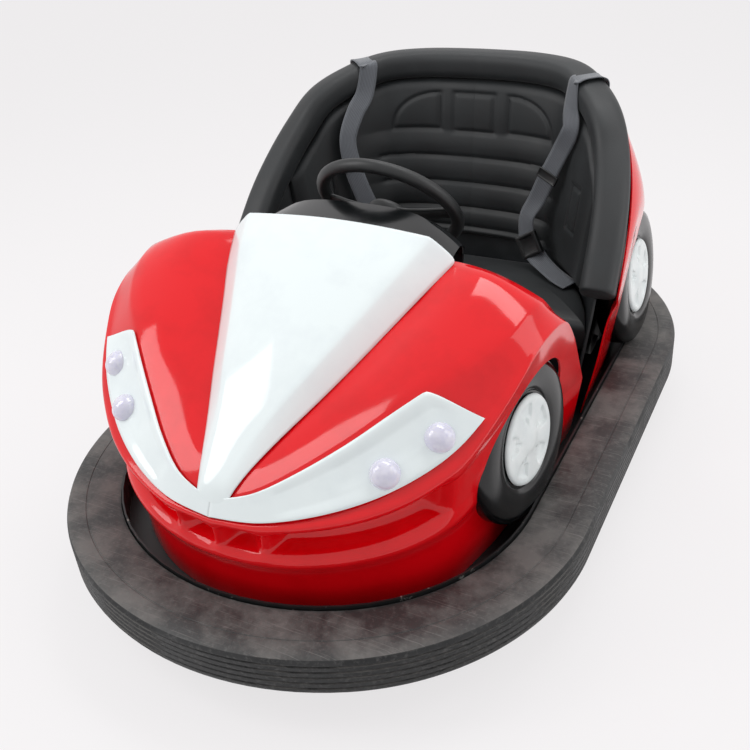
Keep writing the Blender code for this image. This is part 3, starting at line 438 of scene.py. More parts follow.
def shapeGrid(rows):
    # a grid primitive whose points are moved to the given rows, one point a column
    bm = bmesh.new()
    bmesh.ops.create_grid(bm, x_segments=len(rows[0]) - 1, y_segments=len(rows) - 1, size=1.0)
    bm.verts.ensure_lookup_table()
    places = [point for row in rows for point in row]
    for vert, place in zip(bm.verts, places):
        vert.co = place
    return bm


def catmull(points, perSpan):
    # smooth run through tuples of numbers
    out = []
    last = len(points) - 1
    for i in range(last):
        four = [points[min(max(k, 0), last)] for k in (i - 1, i, i + 1, i + 2)]
        for step in range(perSpan):
            t = step / perSpan
            out.append(tuple(0.5 * (2 * q + (r - p) * t + (2 * p - 5 * q + 4 * r - u) * t * t
                                    + (3 * q - p - 3 * r + u) * t ** 3) for p, q, r, u in zip(*four)))
    out.append(tuple(points[-1]))
    return out


def mirrorRow(half):
    # from the middle outwards to a full row across the car
    left = [Vector(p) for p in half]
    return [Vector((-p.x, p.y, p.z)) for p in reversed(left) if abs(p.x) > 1e-6] + left


def ramp(value, low, high):
    t = min(1.0, max(0.0, (value - low) / (high - low)))
    return t * t * (3 - 2 * t)


def addModifier(piece, kind, **settings):
    made = piece.modifiers.new(kind.lower(), kind)
    for key, value in settings.items():
        setattr(made, key, value)
    return made


def creaseEdges(bm, wanted, amount=1.0):
    layer = bm.edges.layers.float.get("crease_edge") or bm.edges.layers.float.new("crease_edge")
    for edge in bm.edges:
        if wanted(edge):
            edge[layer] = amount


# ---- rubber ring: a section spun round the corners and drawn along the sides ----
ring = {
    "halfLength": cadHigh.y,
    "halfWidth": cadHigh.x,
    "endFlat": 0.048,
    "noseExtra": 0.104,
    "low": 0.100,
    "high": 0.193,
    "wide": 0.123,
    "grooves": 5,
    "grooveDepth": 0.0045,
    "cornerSteps": 34,
}


def sweepRing(section):
    # section points are (inset from the ring's outer face, height)
    corner = ring["halfWidth"] - ring["endFlat"]
    nose = corner + ring["noseExtra"]
    noseY = ring["halfLength"] - nose
    across = ring["endFlat"]
    cornerY = noseY + math.sqrt(ring["noseExtra"] ** 2 - across ** 2)
    swing = math.atan2(across, cornerY - noseY)
    bm = bmesh.new()
    verts = [bm.verts.new((0.0, ring["halfLength"] - inset, z)) for inset, z in section]
    edges = [bm.edges.new((verts[k], verts[(k + 1) % len(verts)])) for k in range(len(verts))]
    moving = verts + edges
    turns = [((0, noseY), swing, 10), ((across, cornerY), math.pi / 2 - swing, ring["cornerSteps"]), None,
             ((across, -cornerY), math.pi / 2 - swing, ring["cornerSteps"]), ((0, -noseY), 2 * swing, 20),
             ((-across, -cornerY), math.pi / 2 - swing, ring["cornerSteps"]), None,
             ((-across, cornerY), math.pi / 2 - swing, ring["cornerSteps"]), ((0, noseY), swing, 10)]
    side = -1
    for turn in turns:
        if turn is None:
            for step in range(8):
                lines = [e for e in moving if isinstance(e, bmesh.types.BMEdge)]
                grown = bmesh.ops.extrude_edge_only(bm, edges=lines)
                fresh = [v for v in grown["geom"] if isinstance(v, bmesh.types.BMVert)]
                bmesh.ops.translate(bm, verts=fresh, vec=(0, side * 2 * cornerY / 8, 0))
                moving = fresh + [e for e in grown["geom"] if isinstance(e, bmesh.types.BMEdge)
                                  and all(v in fresh for v in e.verts)]
            side = 1
        else:
            centre, angle, steps = turn
            spun = bmesh.ops.spin(bm, geom=moving, cent=(*centre, 0), axis=(0, 0, 1), angle=-angle,
                                  steps=steps, use_duplicate=False)
            moving = spun["geom_last"]
    bmesh.ops.remove_doubles(bm, verts=bm.verts, dist=0.00005)
    bmesh.ops.recalc_face_normals(bm, faces=bm.faces)
    return bm


def makeRing():
    low, high, wide = ring["low"], ring["high"], ring["wide"]
    soft = 0.011
    section = [(soft, low), (0.003, low + 0.004), (0.0, low + soft)]
    pitch = (high - low - 2 * soft) / ring["grooves"]
    deep = ring["grooveDepth"]
    for k in range(ring["grooves"]):
        foot = low + soft + pitch * k
        section += [(0.0, foot + pitch * 0.30), (deep, foot + pitch * 0.42), (deep, foot + pitch * 0.58),
                    (0.0, foot + pitch * 0.70)]
    section += [(0.0, high - soft), (0.0035, high - 0.0035), (soft, high), (wide * 0.35, high + 0.0),
                (wide * 0.36, high - 0.0012), (wide * 0.375, high - 0.0012), (wide * 0.385, high),
                (wide - 0.008, high), (wide - 0.002, high - 0.002), (wide, high - 0.008), (wide, low)]
    return placePiece("bumperRubber", sweepRing(section), "rubber", "chassis", ("bumper_ring",), 32)


makeRing()
print("ring made")


# ---- front shell, drawn station by station from the nose round to the cockpit ----
# bottom x y | bar x y z | lip x y z | shoulder x y z | inner x y z | crown
frontStations = (
    (0.000, -0.768, 0.000, -0.788, 0.272, 0.000, -0.792, 0.362,
     0.000, -0.772, 0.398, 0.000, -0.735, 0.424, 0.000),
    (0.095, -0.760, 0.098, -0.778, 0.273, 0.105, -0.782, 0.366,
     0.080, -0.752, 0.420, 0.046, -0.712, 0.441, 0.002),
    (0.190, -0.730, 0.196, -0.746, 0.276, 0.208, -0.746, 0.377,
     0.150, -0.705, 0.452, 0.078, -0.640, 0.474, 0.006),
    (0.273, -0.681, 0.284, -0.695, 0.282, 0.298, -0.694, 0.394,
     0.222, -0.640, 0.492, 0.118, -0.555, 0.514, 0.010),
    (0.334, -0.628, 0.348, -0.636, 0.290, 0.368, -0.634, 0.420,
     0.288, -0.577, 0.538, 0.158, -0.465, 0.556, 0.014),
    (0.382, -0.555, 0.396, -0.562, 0.300, 0.420, -0.572, 0.458,
     0.345, -0.520, 0.574, 0.193, -0.385, 0.596, 0.018),
    (0.405, -0.472, 0.420, -0.480, 0.310, 0.455, -0.500, 0.515,
     0.400, -0.460, 0.600, 0.220, -0.320, 0.628, 0.022),
    (0.421, -0.393, 0.438, -0.400, 0.315, 0.482, -0.420, 0.572,
     0.437, -0.395, 0.622, 0.240, -0.275, 0.651, 0.026),
    (0.430, -0.300, 0.448, -0.300, 0.318, 0.498, -0.335, 0.600,
     0.456, -0.335, 0.638, 0.254, -0.245, 0.664, 0.028),
    (0.438, -0.130, 0.458, -0.120, 0.312, 0.505, -0.235, 0.585,
     0.464, -0.285, 0.642, 0.260, -0.230, 0.669, 0.028),
    (0.447, 0.030, 0.470, 0.035, 0.285, 0.500, -0.150, 0.500,
     0.462, -0.245, 0.632, 0.264, -0.216, 0.672, 0.018),
)
front = {
    "perSpan": 6,
    "foot": 0.131,
    "slotDepth": 0.052,
    "slotFrom": 0.25,           # stations
    "slotTo": 4.9,
    "ribAt": 1.0,               # rib between the nostril and the long slot
    "ribHalf": 0.30,
    "beadOut": 0.007,
    "skin": 0.004,
    "wheelRadius": 0.182,
    "wheelZ": 0.346,
    "wheelTilt": 6.0,
    "wheels": {"front": (0.428, -0.322, 7.0), "rear": (0.455, 0.470, 0.0)},
    "wheelWide": 0.075,
}


def frontPoints():
    points = []
    for i, row in enumerate(catmull(frontStations, front["perSpan"])):
        points.append({"at": i / front["perSpan"], "bottom": Vector((row[0], row[1], front["foot"])),
                       "bar": Vector(row[2:5]), "lip": Vector(row[5:8]), "shoulder": Vector(row[8:11]),
                       "inner": Vector(row[11:14]), "crown": row[14]})
    return points


def levelInward(point):
    away = Vector((point.x, point.y + 0.33, 0.0))
    return -away.normalized()


def wheelPlace(side, end):
    x, y, toe = front["wheels"][end]
    flip = math.pi if side < 0 else 0.0
    place = Matrix.Translation((side * x, y, front["wheelZ"]))
    place = place @ Matrix.Rotation(-side * math.radians(toe) + flip, 4, "Z")
    return place @ Matrix.Rotation(math.pi / 2 - math.radians(front["wheelTilt"]), 4, "Y")


def makeCutter(name, bm):
    mesh = bpy.data.meshes.new(name)
    bm.to_mesh(mesh)
    bm.free()
    tool = bpy.data.objects.new(name, mesh)
    scene.collection.objects.link(tool)
    return tool


def spinProfile(profile, place, steps):
    # profile is (radius, height) pairs, spun about local Z and set in place
    bm = bmesh.new()
    verts = [bm.verts.new((radius, 0.0, height)) for radius, height in profile]
    edges = [bm.edges.new(pair) for pair in zip(verts, verts[1:])]
    bmesh.ops.spin(bm, geom=verts + edges, cent=(0, 0, 0), axis=(0, 0, 1), angle=2 * math.pi,
                   steps=steps, use_merge=True)
    bmesh.ops.remove_doubles(bm, verts=bm.verts, dist=0.00002)
    bmesh.ops.recalc_face_normals(bm, faces=bm.faces)
    bmesh.ops.transform(bm, matrix=place, verts=bm.verts)
    return bm


def applyModifiers(piece):
    graph = bpy.context.evaluated_depsgraph_get()
    done = bpy.data.meshes.new_from_object(piece.evaluated_get(graph))
    piece.modifiers.clear()
    old = piece.data
    piece.data = done
    bpy.data.meshes.remove(old)


def cutArches(piece, end, inner):
    # the wheel arches, a little smaller than the tyre so that the wing overhangs it
    radius = front["wheelRadius"] - inner
    low = -front["wheelWide"] / 2 - 0.01
    tools = []
    for side in (-1, 1):
        profile = ((0.0, low), (radius, low), (radius, 0.2), (0.0, 0.2))
        tool = makeCutter("archTool%s%d" % (end, side), spinProfile(profile, wheelPlace(side, end), 72))
        addModifier(piece, "BOOLEAN", operation="DIFFERENCE", object=tool, solver="EXACT")
        tools.append(tool)
    applyModifiers(piece)
    for tool in tools:
        bpy.data.objects.remove(tool)


def makeFrontShell():
    rows = [[] for _ in range(18)]
    for s in frontPoints():
        at, push = s["at"], levelInward(s["lip"])
        slot = ramp(at, front["slotFrom"] - 0.15, front["slotFrom"] + 0.15)
        slot *= 1 - ramp(at, front["slotTo"] - 0.5, front["slotTo"])
        slot *= ramp(abs(at - front["ribAt"]), 0.05, front["ribHalf"])
        fade = 1 - ramp(at, 5.0, 6.6)
        depth = front["slotDepth"] * slot
        bar, lip = s["bar"], s["lip"]
        bead = -push * front["beadOut"] * (1 - ramp(at, 6.5, 8.0))
        up = Vector((0, 0, 1))
        rows[0].append(s["bottom"])
        rows[1].append(s["bottom"].lerp(bar, 0.45) + push * 0.008 * fade)
        rows[2].append(s["bottom"].lerp(bar, 0.80) + push * 0.012 * fade)
        rows[3].append(bar - up * 0.008 * fade - push * 0.004 * fade)
        rows[4].append(bar + up * 0.010 * fade - push * 0.006 * fade)
        rows[5].append(bar.lerp(lip, 0.22) + push * depth * 0.25)
        rows[6].append(bar.lerp(lip, 0.27) + push * depth * 0.95)
        rows[7].append(bar.lerp(lip, 0.50) + push * depth)
        rows[8].append(bar.lerp(lip, 0.74) + push * depth * 0.95)
        rows[9].append(bar.lerp(lip, 0.79) + push * depth * 0.2 + bead * 0.3)
        rows[10].append(lip - up * 0.006 * fade + bead)
        seat = lip.lerp(s["shoulder"], 0.16)
        rows[11].append(lip + up * 0.006 * fade + bead)
        rows[12].append(seat + bead * 0.2)
        rows[13].append(lip.lerp(s["shoulder"], 0.30))
        rows[14].append(lip.lerp(s["shoulder"], 0.65))
        rows[15].append(s["shoulder"])
        middle = s["shoulder"].lerp(s["inner"], 0.5)
        rows[16].append(middle + up * s["crown"])
        rows[17].append(s["inner"])
    bm = shapeGrid([mirrorRow(row) for row in rows])
    bmesh.ops.recalc_face_normals(bm, faces=bm.faces)
    columns = len(mirrorRow(rows[0]))
    bm.verts.index_update()

    def creased(edge):
        a, b = (v.index // columns for v in edge.verts)
        if a != b:
            return False
        return a in (5, 9, 12, 15)
    creaseEdges(bm, creased, 0.75)
    piece = placePiece("frontShell", bm, "red", "chassis", ("front_body",), 42)
    addModifier(piece, "SUBSURF", levels=2, render_levels=2)
    addModifier(piece, "SOLIDIFY", thickness=front["skin"], offset=-1.0)
    applyModifiers(piece)
    cutArches(piece, "front", 0.008)
    piece.data.shade_smooth()
    piece.data.set_sharp_from_angle(angle=math.radians(42))
    return piece


makeFrontShell()
print("front shell made")


# ---- white lamp housings: a leaf laid on the wing, with a sunk tray and two domes ----
lamps = {
    "from": 0.0,                # stations
    "tip": 4.75,                # the upper inner corner
    "end": 5.75,                # the outer corner, over the arch
    "low": 0.17,                # shares of the way from the lip to the shoulder
    "high": 0.99,
    "lift": 0.0090,
    "trayDepth": 0.0066,
    "radius": 0.029,
    "places": {"inner": (0.303, -0.648, 0.452), "outer": (0.378, -0.566, 0.497)},
}


def pointAt(points, at):
    k = min(int(at * front["perSpan"]), len(points) - 2)
    share = at * front["perSpan"] - k
    a, b = points[k], points[k + 1]
    return {name: a[name].lerp(b[name], share) for name in ("lip", "shoulder")}


def makeLampHousing(side, word):
    points = frontPoints()
    columns, across = 60, 14
    rows = [[] for _ in range(across + 1)]
    for k in range(columns + 1):
        at = lamps["from"] + (lamps["end"] - lamps["from"]) * k / columns
        s = pointAt(points, at)
        t = max(0.0, (at - lamps["tip"]) / (lamps["end"] - lamps["tip"]))
        high = lamps["low"] + (lamps["high"] - lamps["low"]) * (1 - t ** 1.3)
        span = s["shoulder"] - s["lip"]
        push = levelInward(s["lip"])
        normal = Vector((-push.x, -push.y, 0.9)).normalized()
        normal = (normal - span.normalized() * normal.dot(span.normalized())).normalized()
        for j in range(across + 1):
            share = lamps["low"] + (high - lamps["low"]) * j / across
            inside = ramp(share, 0.30, 0.36) * (1 - ramp(share, high - 0.16, high - 0.10))
            inside *= ramp(at, 1.35, 1.6) * (1 - ramp(at, 4.9, 5.3))
            shelf = ramp(at, 2.5, 2.75) * (1 - ramp(at, 4.4, 4.7)) * ramp(share, 0.44, 0.5)
            sink = lamps["trayDepth"] * (0.55 * inside + 0.45 * inside * shelf)
            place = s["lip"] + span * share + normal * (lamps["lift"] - sink)
            rows[j].append(Vector((side * place.x, place.y, place.z)))
    bm = shapeGrid(rows)
    bmesh.ops.remove_doubles(bm, verts=bm.verts, dist=0.0002)
    bmesh.ops.recalc_face_normals(bm, faces=bm.faces)
    up = sum(face.normal.z for face in bm.faces)
    if up < 0:
        bmesh.ops.reverse_faces(bm, faces=bm.faces)
    piece = placePiece("lampHousing_" + word, bm, "white", "chassis", ("headlamp_housing_" + word,), 50)
    addModifier(piece, "SOLIDIFY", thickness=0.003, offset=-1.0)
    return piece


def lampPlace(side, where):
    x, y, z = lamps["places"][where]
    out = -levelInward(Vector((x, y, 0)))
    aim = Vector((side * out.x, out.y, 0.95)).normalized()
    turn = Vector((0, 0, 1)).rotation_difference(aim).to_matrix().to_4x4()
    return Matrix.Translation((side * x, y, z)) @ turn


for side, word in ((1, "left"), (-1, "right")):
    makeLampHousing(side, word)
    for where in lamps["places"]:
        r = lamps["radius"]
        profile = [(0.0, -0.010), (r, -0.010), (r, 0.0)]
        profile += [(r * math.cos(math.radians(a)), r * 0.82 * math.sin(math.radians(a)))
                    for a in range(6, 90, 6)] + [(0.0, r * 0.82)]
        placePiece("lampDome_%s_%s" % (word, where), spinProfile(profile, lampPlace(side, where), 48), "lens",
                   "chassis", ("lamp_lens_%s_%s" % (word, where),), 60)
print("lamps made")


# ---- bonnet: foot x y z | top edge x y z | middle z ----
bonnetStations = (
    (0.034, -0.7835, 0.385, 0.018, -0.7840, 0.391, 0.394),
    (0.038, -0.768, 0.411, 0.022, -0.766, 0.424, 0.428),
    (0.056, -0.720, 0.443, 0.034, -0.715, 0.460, 0.464),
    (0.088, -0.645, 0.479, 0.058, -0.640, 0.508, 0.514),
    (0.128, -0.560, 0.518, 0.094, -0.556, 0.558, 0.566),
    (0.168, -0.470, 0.560, 0.130, -0.466, 0.606, 0.616),
    (0.203, -0.390, 0.600, 0.162, -0.388, 0.648, 0.660),
    (0.238, -0.312, 0.640, 0.192, -0.312, 0.690, 0.702),
    (0.272, -0.222, 0.677, 0.218, -0.233, 0.727, 0.740),
)


def makeBonnet():
    rows = [[] for _ in range(5)]
    for fx, fy, fz, tx, ty, tz, middle in catmull(bonnetStations, 4):
        rows[0].append(Vector((0.0, ty, middle)))
        rows[1].append(Vector((tx * 0.5, ty, tz + (middle - tz) * 0.72)))
        rows[2].append(Vector((tx, ty, tz)))
        rows[3].append(Vector(((fx + tx) / 2, (fy + ty) / 2, (fz + tz) / 2 + 0.002)))
        rows[4].append(Vector((fx, fy, fz)))
    full = [[Vector((-p.x, p.y, p.z)) for p in row] for row in reversed(rows[1:])] + rows
    bm = shapeGrid(full)
    columns = len(full[0])
    creaseEdges(bm, lambda e: e.verts[0].index // columns == e.verts[1].index // columns
                and e.verts[0].index // columns in (2, 6), 0.9)
    bmesh.ops.recalc_face_normals(bm, faces=bm.faces)
    if sum(face.normal.z for face in bm.faces) < 0:
        bmesh.ops.reverse_faces(bm, faces=bm.faces)
    piece = placePiece("bonnetSkin", bm, "white", "chassis", ("bonnet_panel",), 50)
    addModifier(piece, "SUBSURF", levels=2, render_levels=2)
    addModifier(piece, "SOLIDIFY", thickness=0.004, offset=-1.0)
    return piece


makeBonnet()
print("bonnet made")


# ---- moulded wheels and five-spoke caps ----
capStyle = {
    "radius": 0.098,
    "spokes": 5,
    "windowIn": 0.036,
    "windowOut": 0.080,
    "sink": 0.009,
}


def makeWheel(side, end, word):
    half, radius = front["wheelWide"] / 2, front["wheelRadius"]
    place = wheelPlace(side, end)
    inner = capStyle["radius"] + 0.004
    profile = [(0.0, -half), (radius - 0.022, -half), (radius - 0.006, -half + 0.006),
               (radius, -half + 0.020), (radius, half - 0.026), (radius - 0.004, half - 0.014),
               (radius - 0.013, half - 0.004),
               (radius - 0.026, half), (radius - 0.050, half + 0.001), (inner + 0.014, half - 0.001),
               (inner + 0.004, half - 0.004), (inner, half - 0.009), (0.0, half - 0.009)]
    placePiece("mouldedTyre_%s_%s" % (end, word), spinProfile(profile, place, 96), "tyre", "chassis",
               ("road_wheel_%s_%s" % (end, word),), 40)
    steps = 60
    radii = (0.0, 0.020, 0.027, capStyle["windowIn"], 0.050, 0.066, capStyle["windowOut"], 0.090,
             capStyle["radius"] - 0.003, capStyle["radius"])
    heights = (0.013, 0.013, 0.0105, 0.0095, 0.0095, 0.0095, 0.0100, 0.0105, 0.0085, 0.002)
    base = half - 0.009 + 0.0005
    bm = spinProfile([(r, base + h) for r, h in zip(radii, heights)], Matrix.Identity(4), steps)
    sector = 2 * math.pi / capStyle["spokes"]
    windows = []
    for face in bm.faces:
        centre = face.calc_center_median()
        away = math.hypot(centre.x, centre.y)
        angle = abs((math.atan2(centre.y, centre.x) % sector) - sector / 2)
        wide = sector / 2 - 0.021 / max(away, 0.001)
        if capStyle["windowIn"] < away < capStyle["windowOut"] and angle < wide:
            windows.append(face)
    bmesh.ops.inset_region(bm, faces=windows, thickness=0.003, depth=0.0, use_even_offset=True)
    verts = {v for face in windows for v in face.verts}
    bmesh.ops.translate(bm, verts=list(verts), vec=(0, 0, -capStyle["sink"] * 0.8))
    bmesh.ops.transform(bm, matrix=place, verts=bm.verts)
    bmesh.ops.recalc_face_normals(bm, faces=bm.faces)
    outward = place.to_3x3() @ Vector((0, 0, 1))
    if sum(face.normal.dot(outward) * face.calc_area() for face in bm.faces) < 0:
        bmesh.ops.reverse_faces(bm, faces=bm.faces)
    cap = placePiece("wheelCap_%s_%s" % (end, word), bm, "cap", "chassis",
                     ("hub_cap_%s_%s" % (end, word),), 50)
    addModifier(cap, "SOLIDIFY", thickness=0.003, offset=-1.0)
    addModifier(cap, "SUBSURF", levels=1, render_levels=1)


for side, word in ((1, "left"), (-1, "right")):
    for end in ("front", "rear"):
        makeWheel(side, end, word)
print("wheels made")

# ---- seat: bolster, back pad and cushion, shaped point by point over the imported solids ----
seat = {
    "rollWide": 0.0415,         # half sizes of the bolster's section
    "rollHigh": 0.036,
    "rollSquare": 3.0,          # 2 is an ellipse, more is squarer
    "lean": 0.15,               # the tub wall leans out by this share of its height
    "wallHalf": 0.0029,
    "padThick": 0.031,
    "padLow": 0.386,
    "padEnd": 6,                # spans of the bolster's line that the pad follows
    "seams": (0.607, 0.537, 0.466, 0.412),
    "seamReach": 0.34,          # seams fade out this far along from the middle
    "squareHalf": 0.060,        # embossed square, then the quarter discs beside it
    "squareLow": 0.676,
    "squareHigh": 0.776,
    "discFrom": 0.103,
    "discLow": 0.680,
    "discWide": 0.155,
    "discHigh": 0.096,
    "sidePanel": (0.435, 0.495, 0.50, 0.61),
    "grooveHalf": 0.0055,
    "grooveDepth": 0.0052,
    "puff": 0.0045,
    "cushionLow": 0.291,
    "cushionTop": 0.366,
    "cushionCrown": 0.012,
    "cushionFront": 0.137,
    "cushionBack": 0.436,
}
# x y z along the bolster's middle line, from the middle of the back to the end of the arm
bolsterPoints = (
    (0.000, 0.600, 0.846),
    (0.150, 0.590, 0.845),
    (0.265, 0.552, 0.838),
    (0.340, 0.478, 0.815),
    (0.395, 0.405, 0.780),
    (0.430, 0.345, 0.720),
    (0.455, 0.270, 0.650),
    (0.470, 0.190, 0.575),
    (0.478, 0.100, 0.480),
)


def bolsterLine(perSpan):
    # point, level outward direction and direction along, from the right arm round to the left
    raw = [Vector(p) for p in catmull(bolsterPoints, perSpan)]
    half = []
    for i, p in enumerate(raw):
        ahead = raw[min(i + 1, len(raw) - 1)] - raw[max(i - 1, 0)]
        if i == 0:
            ahead = Vector((1.0, 0.0, 0.0))
        half.append((p, Vector((-ahead.y, ahead.x, 0.0)).normalized(), ahead.normalized()))
    other = [(Vector((-p.x, p.y, p.z)), Vector((-o.x, o.y, o.z)), Vector((a.x, -a.y, -a.z)))
             for p, o, a in reversed(half[1:])]
    return other + half


def squared(angle, power):
    c, t = math.cos(angle), math.sin(angle)
    return (math.copysign(abs(c) ** (2 / power), c), math.copysign(abs(t) ** (2 / power), t))


def rollPoint(station, angle, grow=0.0, scale=1.0):
    p, out, ahead = station
    up = out.cross(ahead)
    up = -up if up.z < 0 else up
    wide, high = squared(angle, seat["rollSquare"])
    return p + out * (seat["rollWide"] + grow) * scale * wide + up * (seat["rollHigh"] + grow) * scale * high


def tubeOver(rings, name, key, stands, smoothAngle):
    # rings of points skinned one after another and capped at both ends
    bm = bmesh.new()
    loops = []
    for ring in rings:
        verts = [bm.verts.new(p) for p in ring]
        loops.append([bm.edges.new((verts[k - 1], verts[k])) for k in range(len(verts))])
    for first, second in zip(loops, loops[1:]):
        bmesh.ops.bridge_loops(bm, edges=first + second)
    bmesh.ops.holes_fill(bm, edges=[e for e in bm.edges if e.is_boundary])
    bmesh.ops.recalc_face_normals(bm, faces=bm.faces)
    return placePiece(name, bm, key, "chassis", stands, smoothAngle)


def makeBolster():
    stations = bolsterLine(8)
    steps = 40
    rings = []
    rounding = ((0.003, 0.985), (0.0065, 0.93), (0.0085, 0.80))     # push past the end, scale
    plan = [(stations[0], -push, scale) for push, scale in reversed(rounding)]
    plan += [(each, 0.0, 1.0) for each in stations]
    plan += [(stations[-1], push, scale) for push, scale in rounding]
    for station, push, scale in plan:
        moved = (station[0] + station[2] * push, station[1], station[2])
        rings.append([rollPoint(moved, 2 * math.pi * k / steps, 0.0, scale) for k in range(steps)])
    piece = tubeOver(rings, "bolsterCover", "vinyl", ("seat_bolster",), 60)
    addModifier(piece, "SUBSURF", levels=1, render_levels=1)


def wallPoint(station, z, shift):
    p, out = station[:2]
    return Vector((p.x, p.y, 0)) - out * (seat["lean"] * (p.z - z) + shift) + Vector((0, 0, z))


def boxDistance(s, z, left, right, low, high):
    return max(left - s, s - right, low - z, z - high)


def sewnLine(distance):
    share = abs(distance) / seat["grooveHalf"]
    return math.exp(-share * share)


def padRelief(s, z):
    # seams across the back, and over them a square between two quarter discs; s runs from the middle
    s = abs(s)
    reach = 1 - ramp(s, seat["seamReach"] - 0.03, seat["seamReach"])
    lines = [sewnLine(z - seam) * reach for seam in seat["seams"]]
    half, low, high = seat["squareHalf"], seat["squareLow"], seat["squareHigh"]
    lines.append(sewnLine(boxDistance(s, z, -half, half, low, high)))
    start, foot = seat["discFrom"], seat["discLow"]
    away = math.hypot((s - start) / seat["discWide"], (z - foot) / seat["discHigh"])
    lines.append(sewnLine(max(start - s, foot - z, (away - 1) * 0.12)))
    lines.append(sewnLine(boxDistance(s, z, *seat["sidePanel"])))
    return max(lines)


def makeBackPad():
    perSpan = 30
    skip = (len(bolsterPoints) - 1 - seat["padEnd"]) * perSpan
    stations = bolsterLine(perSpan)[skip:-skip]
    middle = len(stations) // 2
    runs = [0.0]
    for a, b in zip(stations, stations[1:]):
        runs.append(runs[-1] + (b[0] - a[0]).length)
    rowsUp = 104
    rings = []
    for k, station in enumerate(stations):
        p, ahead = station[0], station[2]
        s = runs[k] - runs[middle]
        edge = ramp(min(k, len(stations) - 1 - k), -1, 16)
        top = p.z - (seat["rollHigh"] + 0.0015) / math.hypot(ahead.x, ahead.y)
        low, back, thick = seat["padLow"], seat["wallHalf"], seat["padThick"]
        ring = [wallPoint(station, top, back), wallPoint(station, low, back)]
        for j in range(rowsUp + 1):
            share = j / rowsUp
            z = low + (top - low) * share
            edgeShare = min(1.0, min(share, 1 - share) * (top - low) / 0.022)
            swell = math.sqrt(max(0.0, 1 - (1 - edgeShare) ** 2)) * edge ** 0.5
            between = (low, *reversed(seat["seams"]), seat["squareLow"], top)
            bulge = 0.0
            for a, b in zip(between, between[1:]):
                if a <= z <= b:
                    bulge = math.sin(math.pi * (z - a) / (b - a))
            shift = back + thick * (0.35 + 0.65 * swell) - seat["grooveDepth"] * padRelief(s, z) * swell
            shift += (bulge - 0.6) * seat["puff"] * swell * (1 - ramp(abs(s), 0.30, 0.42))
            ring.append(wallPoint(station, z, shift))
        rings.append(ring)
    piece = tubeOver(rings, "backPadCover", "vinyl", ("backrest_pad",), 60)


def makeCushion():
    stations = [each for each in bolsterLine(8) if each[0].x >= 0]
    half = [wallPoint(each, seat["cushionTop"], seat["wallHalf"] + 0.006) for each in stations]
    half = [q for q in half if seat["cushionFront"] < q.y < seat["cushionBack"]]
    half = [Vector((half[0].x - 0.012, seat["cushionBack"], 0))] + half
    half.append(Vector((half[-1].x + 0.002, seat["cushionFront"], 0)))
    outline = half + [Vector((-q.x, q.y, 0)) for q in reversed(half)]
    fine = []
    for a, b in zip(outline, outline[1:] + outline[:1]):
        parts = max(1, round((b - a).length / 0.006))
        fine += [a.lerp(b, k / parts) for k in range(parts)]
    mid = (seat["cushionFront"] + seat["cushionBack"]) / 2
    wide = max(q.x for q in fine)
    deep = (seat["cushionBack"] - seat["cushionFront"]) / 2
    low, top, crown = seat["cushionLow"], seat["cushionTop"], seat["cushionCrown"]
    levels = [(0.014, low), (0.005, low + 0.004), (0.001, low + 0.014), (0.0, low + 0.035),
              (0.0015, top - 0.020), (0.006, top - 0.008), (0.009, top - 0.0065), (0.014, top - 0.001),
              (0.024, top + 0.0015)]
    levels += [(0.024 + 0.115 * k / 10, top + crown * math.sin(math.pi / 2 * (0.15 + 0.85 * k / 10)))
               for k in range(1, 11)]
    rings = []
    for inset, z in levels:
        rings.append([Vector((q.x * (1 - inset / wide), mid + (q.y - mid) * (1 - inset / deep), z))
                      for q in fine])
    piece = tubeOver(rings, "cushionCover", "vinyl", ("seat_cushion",), 70)


makeBolster()
makeBackPad()
makeCushion()
print("seat made")


# ---- seat belts: webbing over the bolster, a sliding adjuster and a buckle on each ----
belts = {
    "width": 0.050,
    "thick": 0.0022,
    "perSpan": 10,
    "across": 6,
    "rollSpan": {"left": 2.75, "right": 2.50},     # spans along the bolster's line
    "overFrom": -40,            # degrees round the bolster, from its outer face
    "overTo": 150,
    # x y z and the width's turn in degrees from straight across the car
    "left": ((0.298, 0.445, 0.788, -34), (0.306, 0.424, 0.745, -24), (0.280, 0.432, 0.685, -20),
             (0.248, 0.428, 0.615, -14), (0.222, 0.424, 0.552, -14), (0.198, 0.412, 0.500, -25),
             (0.212, 0.392, 0.440, -10), (0.250, 0.372, 0.404, 10), (0.310, 0.325, 0.389, 20),
             (0.355, 0.300, 0.382, 30)),
    "right": ((-0.286, 0.462, 0.788, 40), (-0.300, 0.425, 0.745, 48), (-0.306, 0.382, 0.685, 56),
              (-0.292, 0.370, 0.615, 46), (-0.270, 0.370, 0.545, 30), (-0.245, 0.372, 0.485, 20),
              (-0.235, 0.370, 0.435, 10), (-0.260, 0.350, 0.404, -10), (-0.315, 0.320, 0.389, -20),
              (-0.358, 0.300, 0.382, -30)),
    "adjusterAt": 3.0,          # points along each list
    "buckleAt": 6.1,
}


def beltRun(word):
    # middle line and width direction, from behind the bolster down to the cushion
    side = 1 if word == "left" else -1
    per = 20
    stations = bolsterLine(per)
    at = (len(bolsterPoints) - 1) * per + side * round(belts["rollSpan"][word] * per)
    station = stations[at]
    along = station[2]
    along = along if along.x > 0 else -along
    flat = math.degrees(math.atan2(along.y, along.x))
    run = []
    for k in range(9):
        angle = math.radians(belts["overFrom"] + (belts["overTo"] - belts["overFrom"]) * k / 8)
        run.append((*rollPoint(station, angle, 0.0032), flat))
    return catmull(tuple(run) + belts[word], belts["perSpan"])


def widthAt(run, k):
    ahead = Vector(run[min(k + 1, len(run) - 1)][:3]) - Vector(run[max(k - 1, 0)][:3])
    turn = math.radians(run[k][3])
    width = Vector((math.cos(turn), math.sin(turn), 0.0))
    width = (width - ahead.normalized() * width.dot(ahead.normalized())).normalized()
    return width, ahead.normalized()


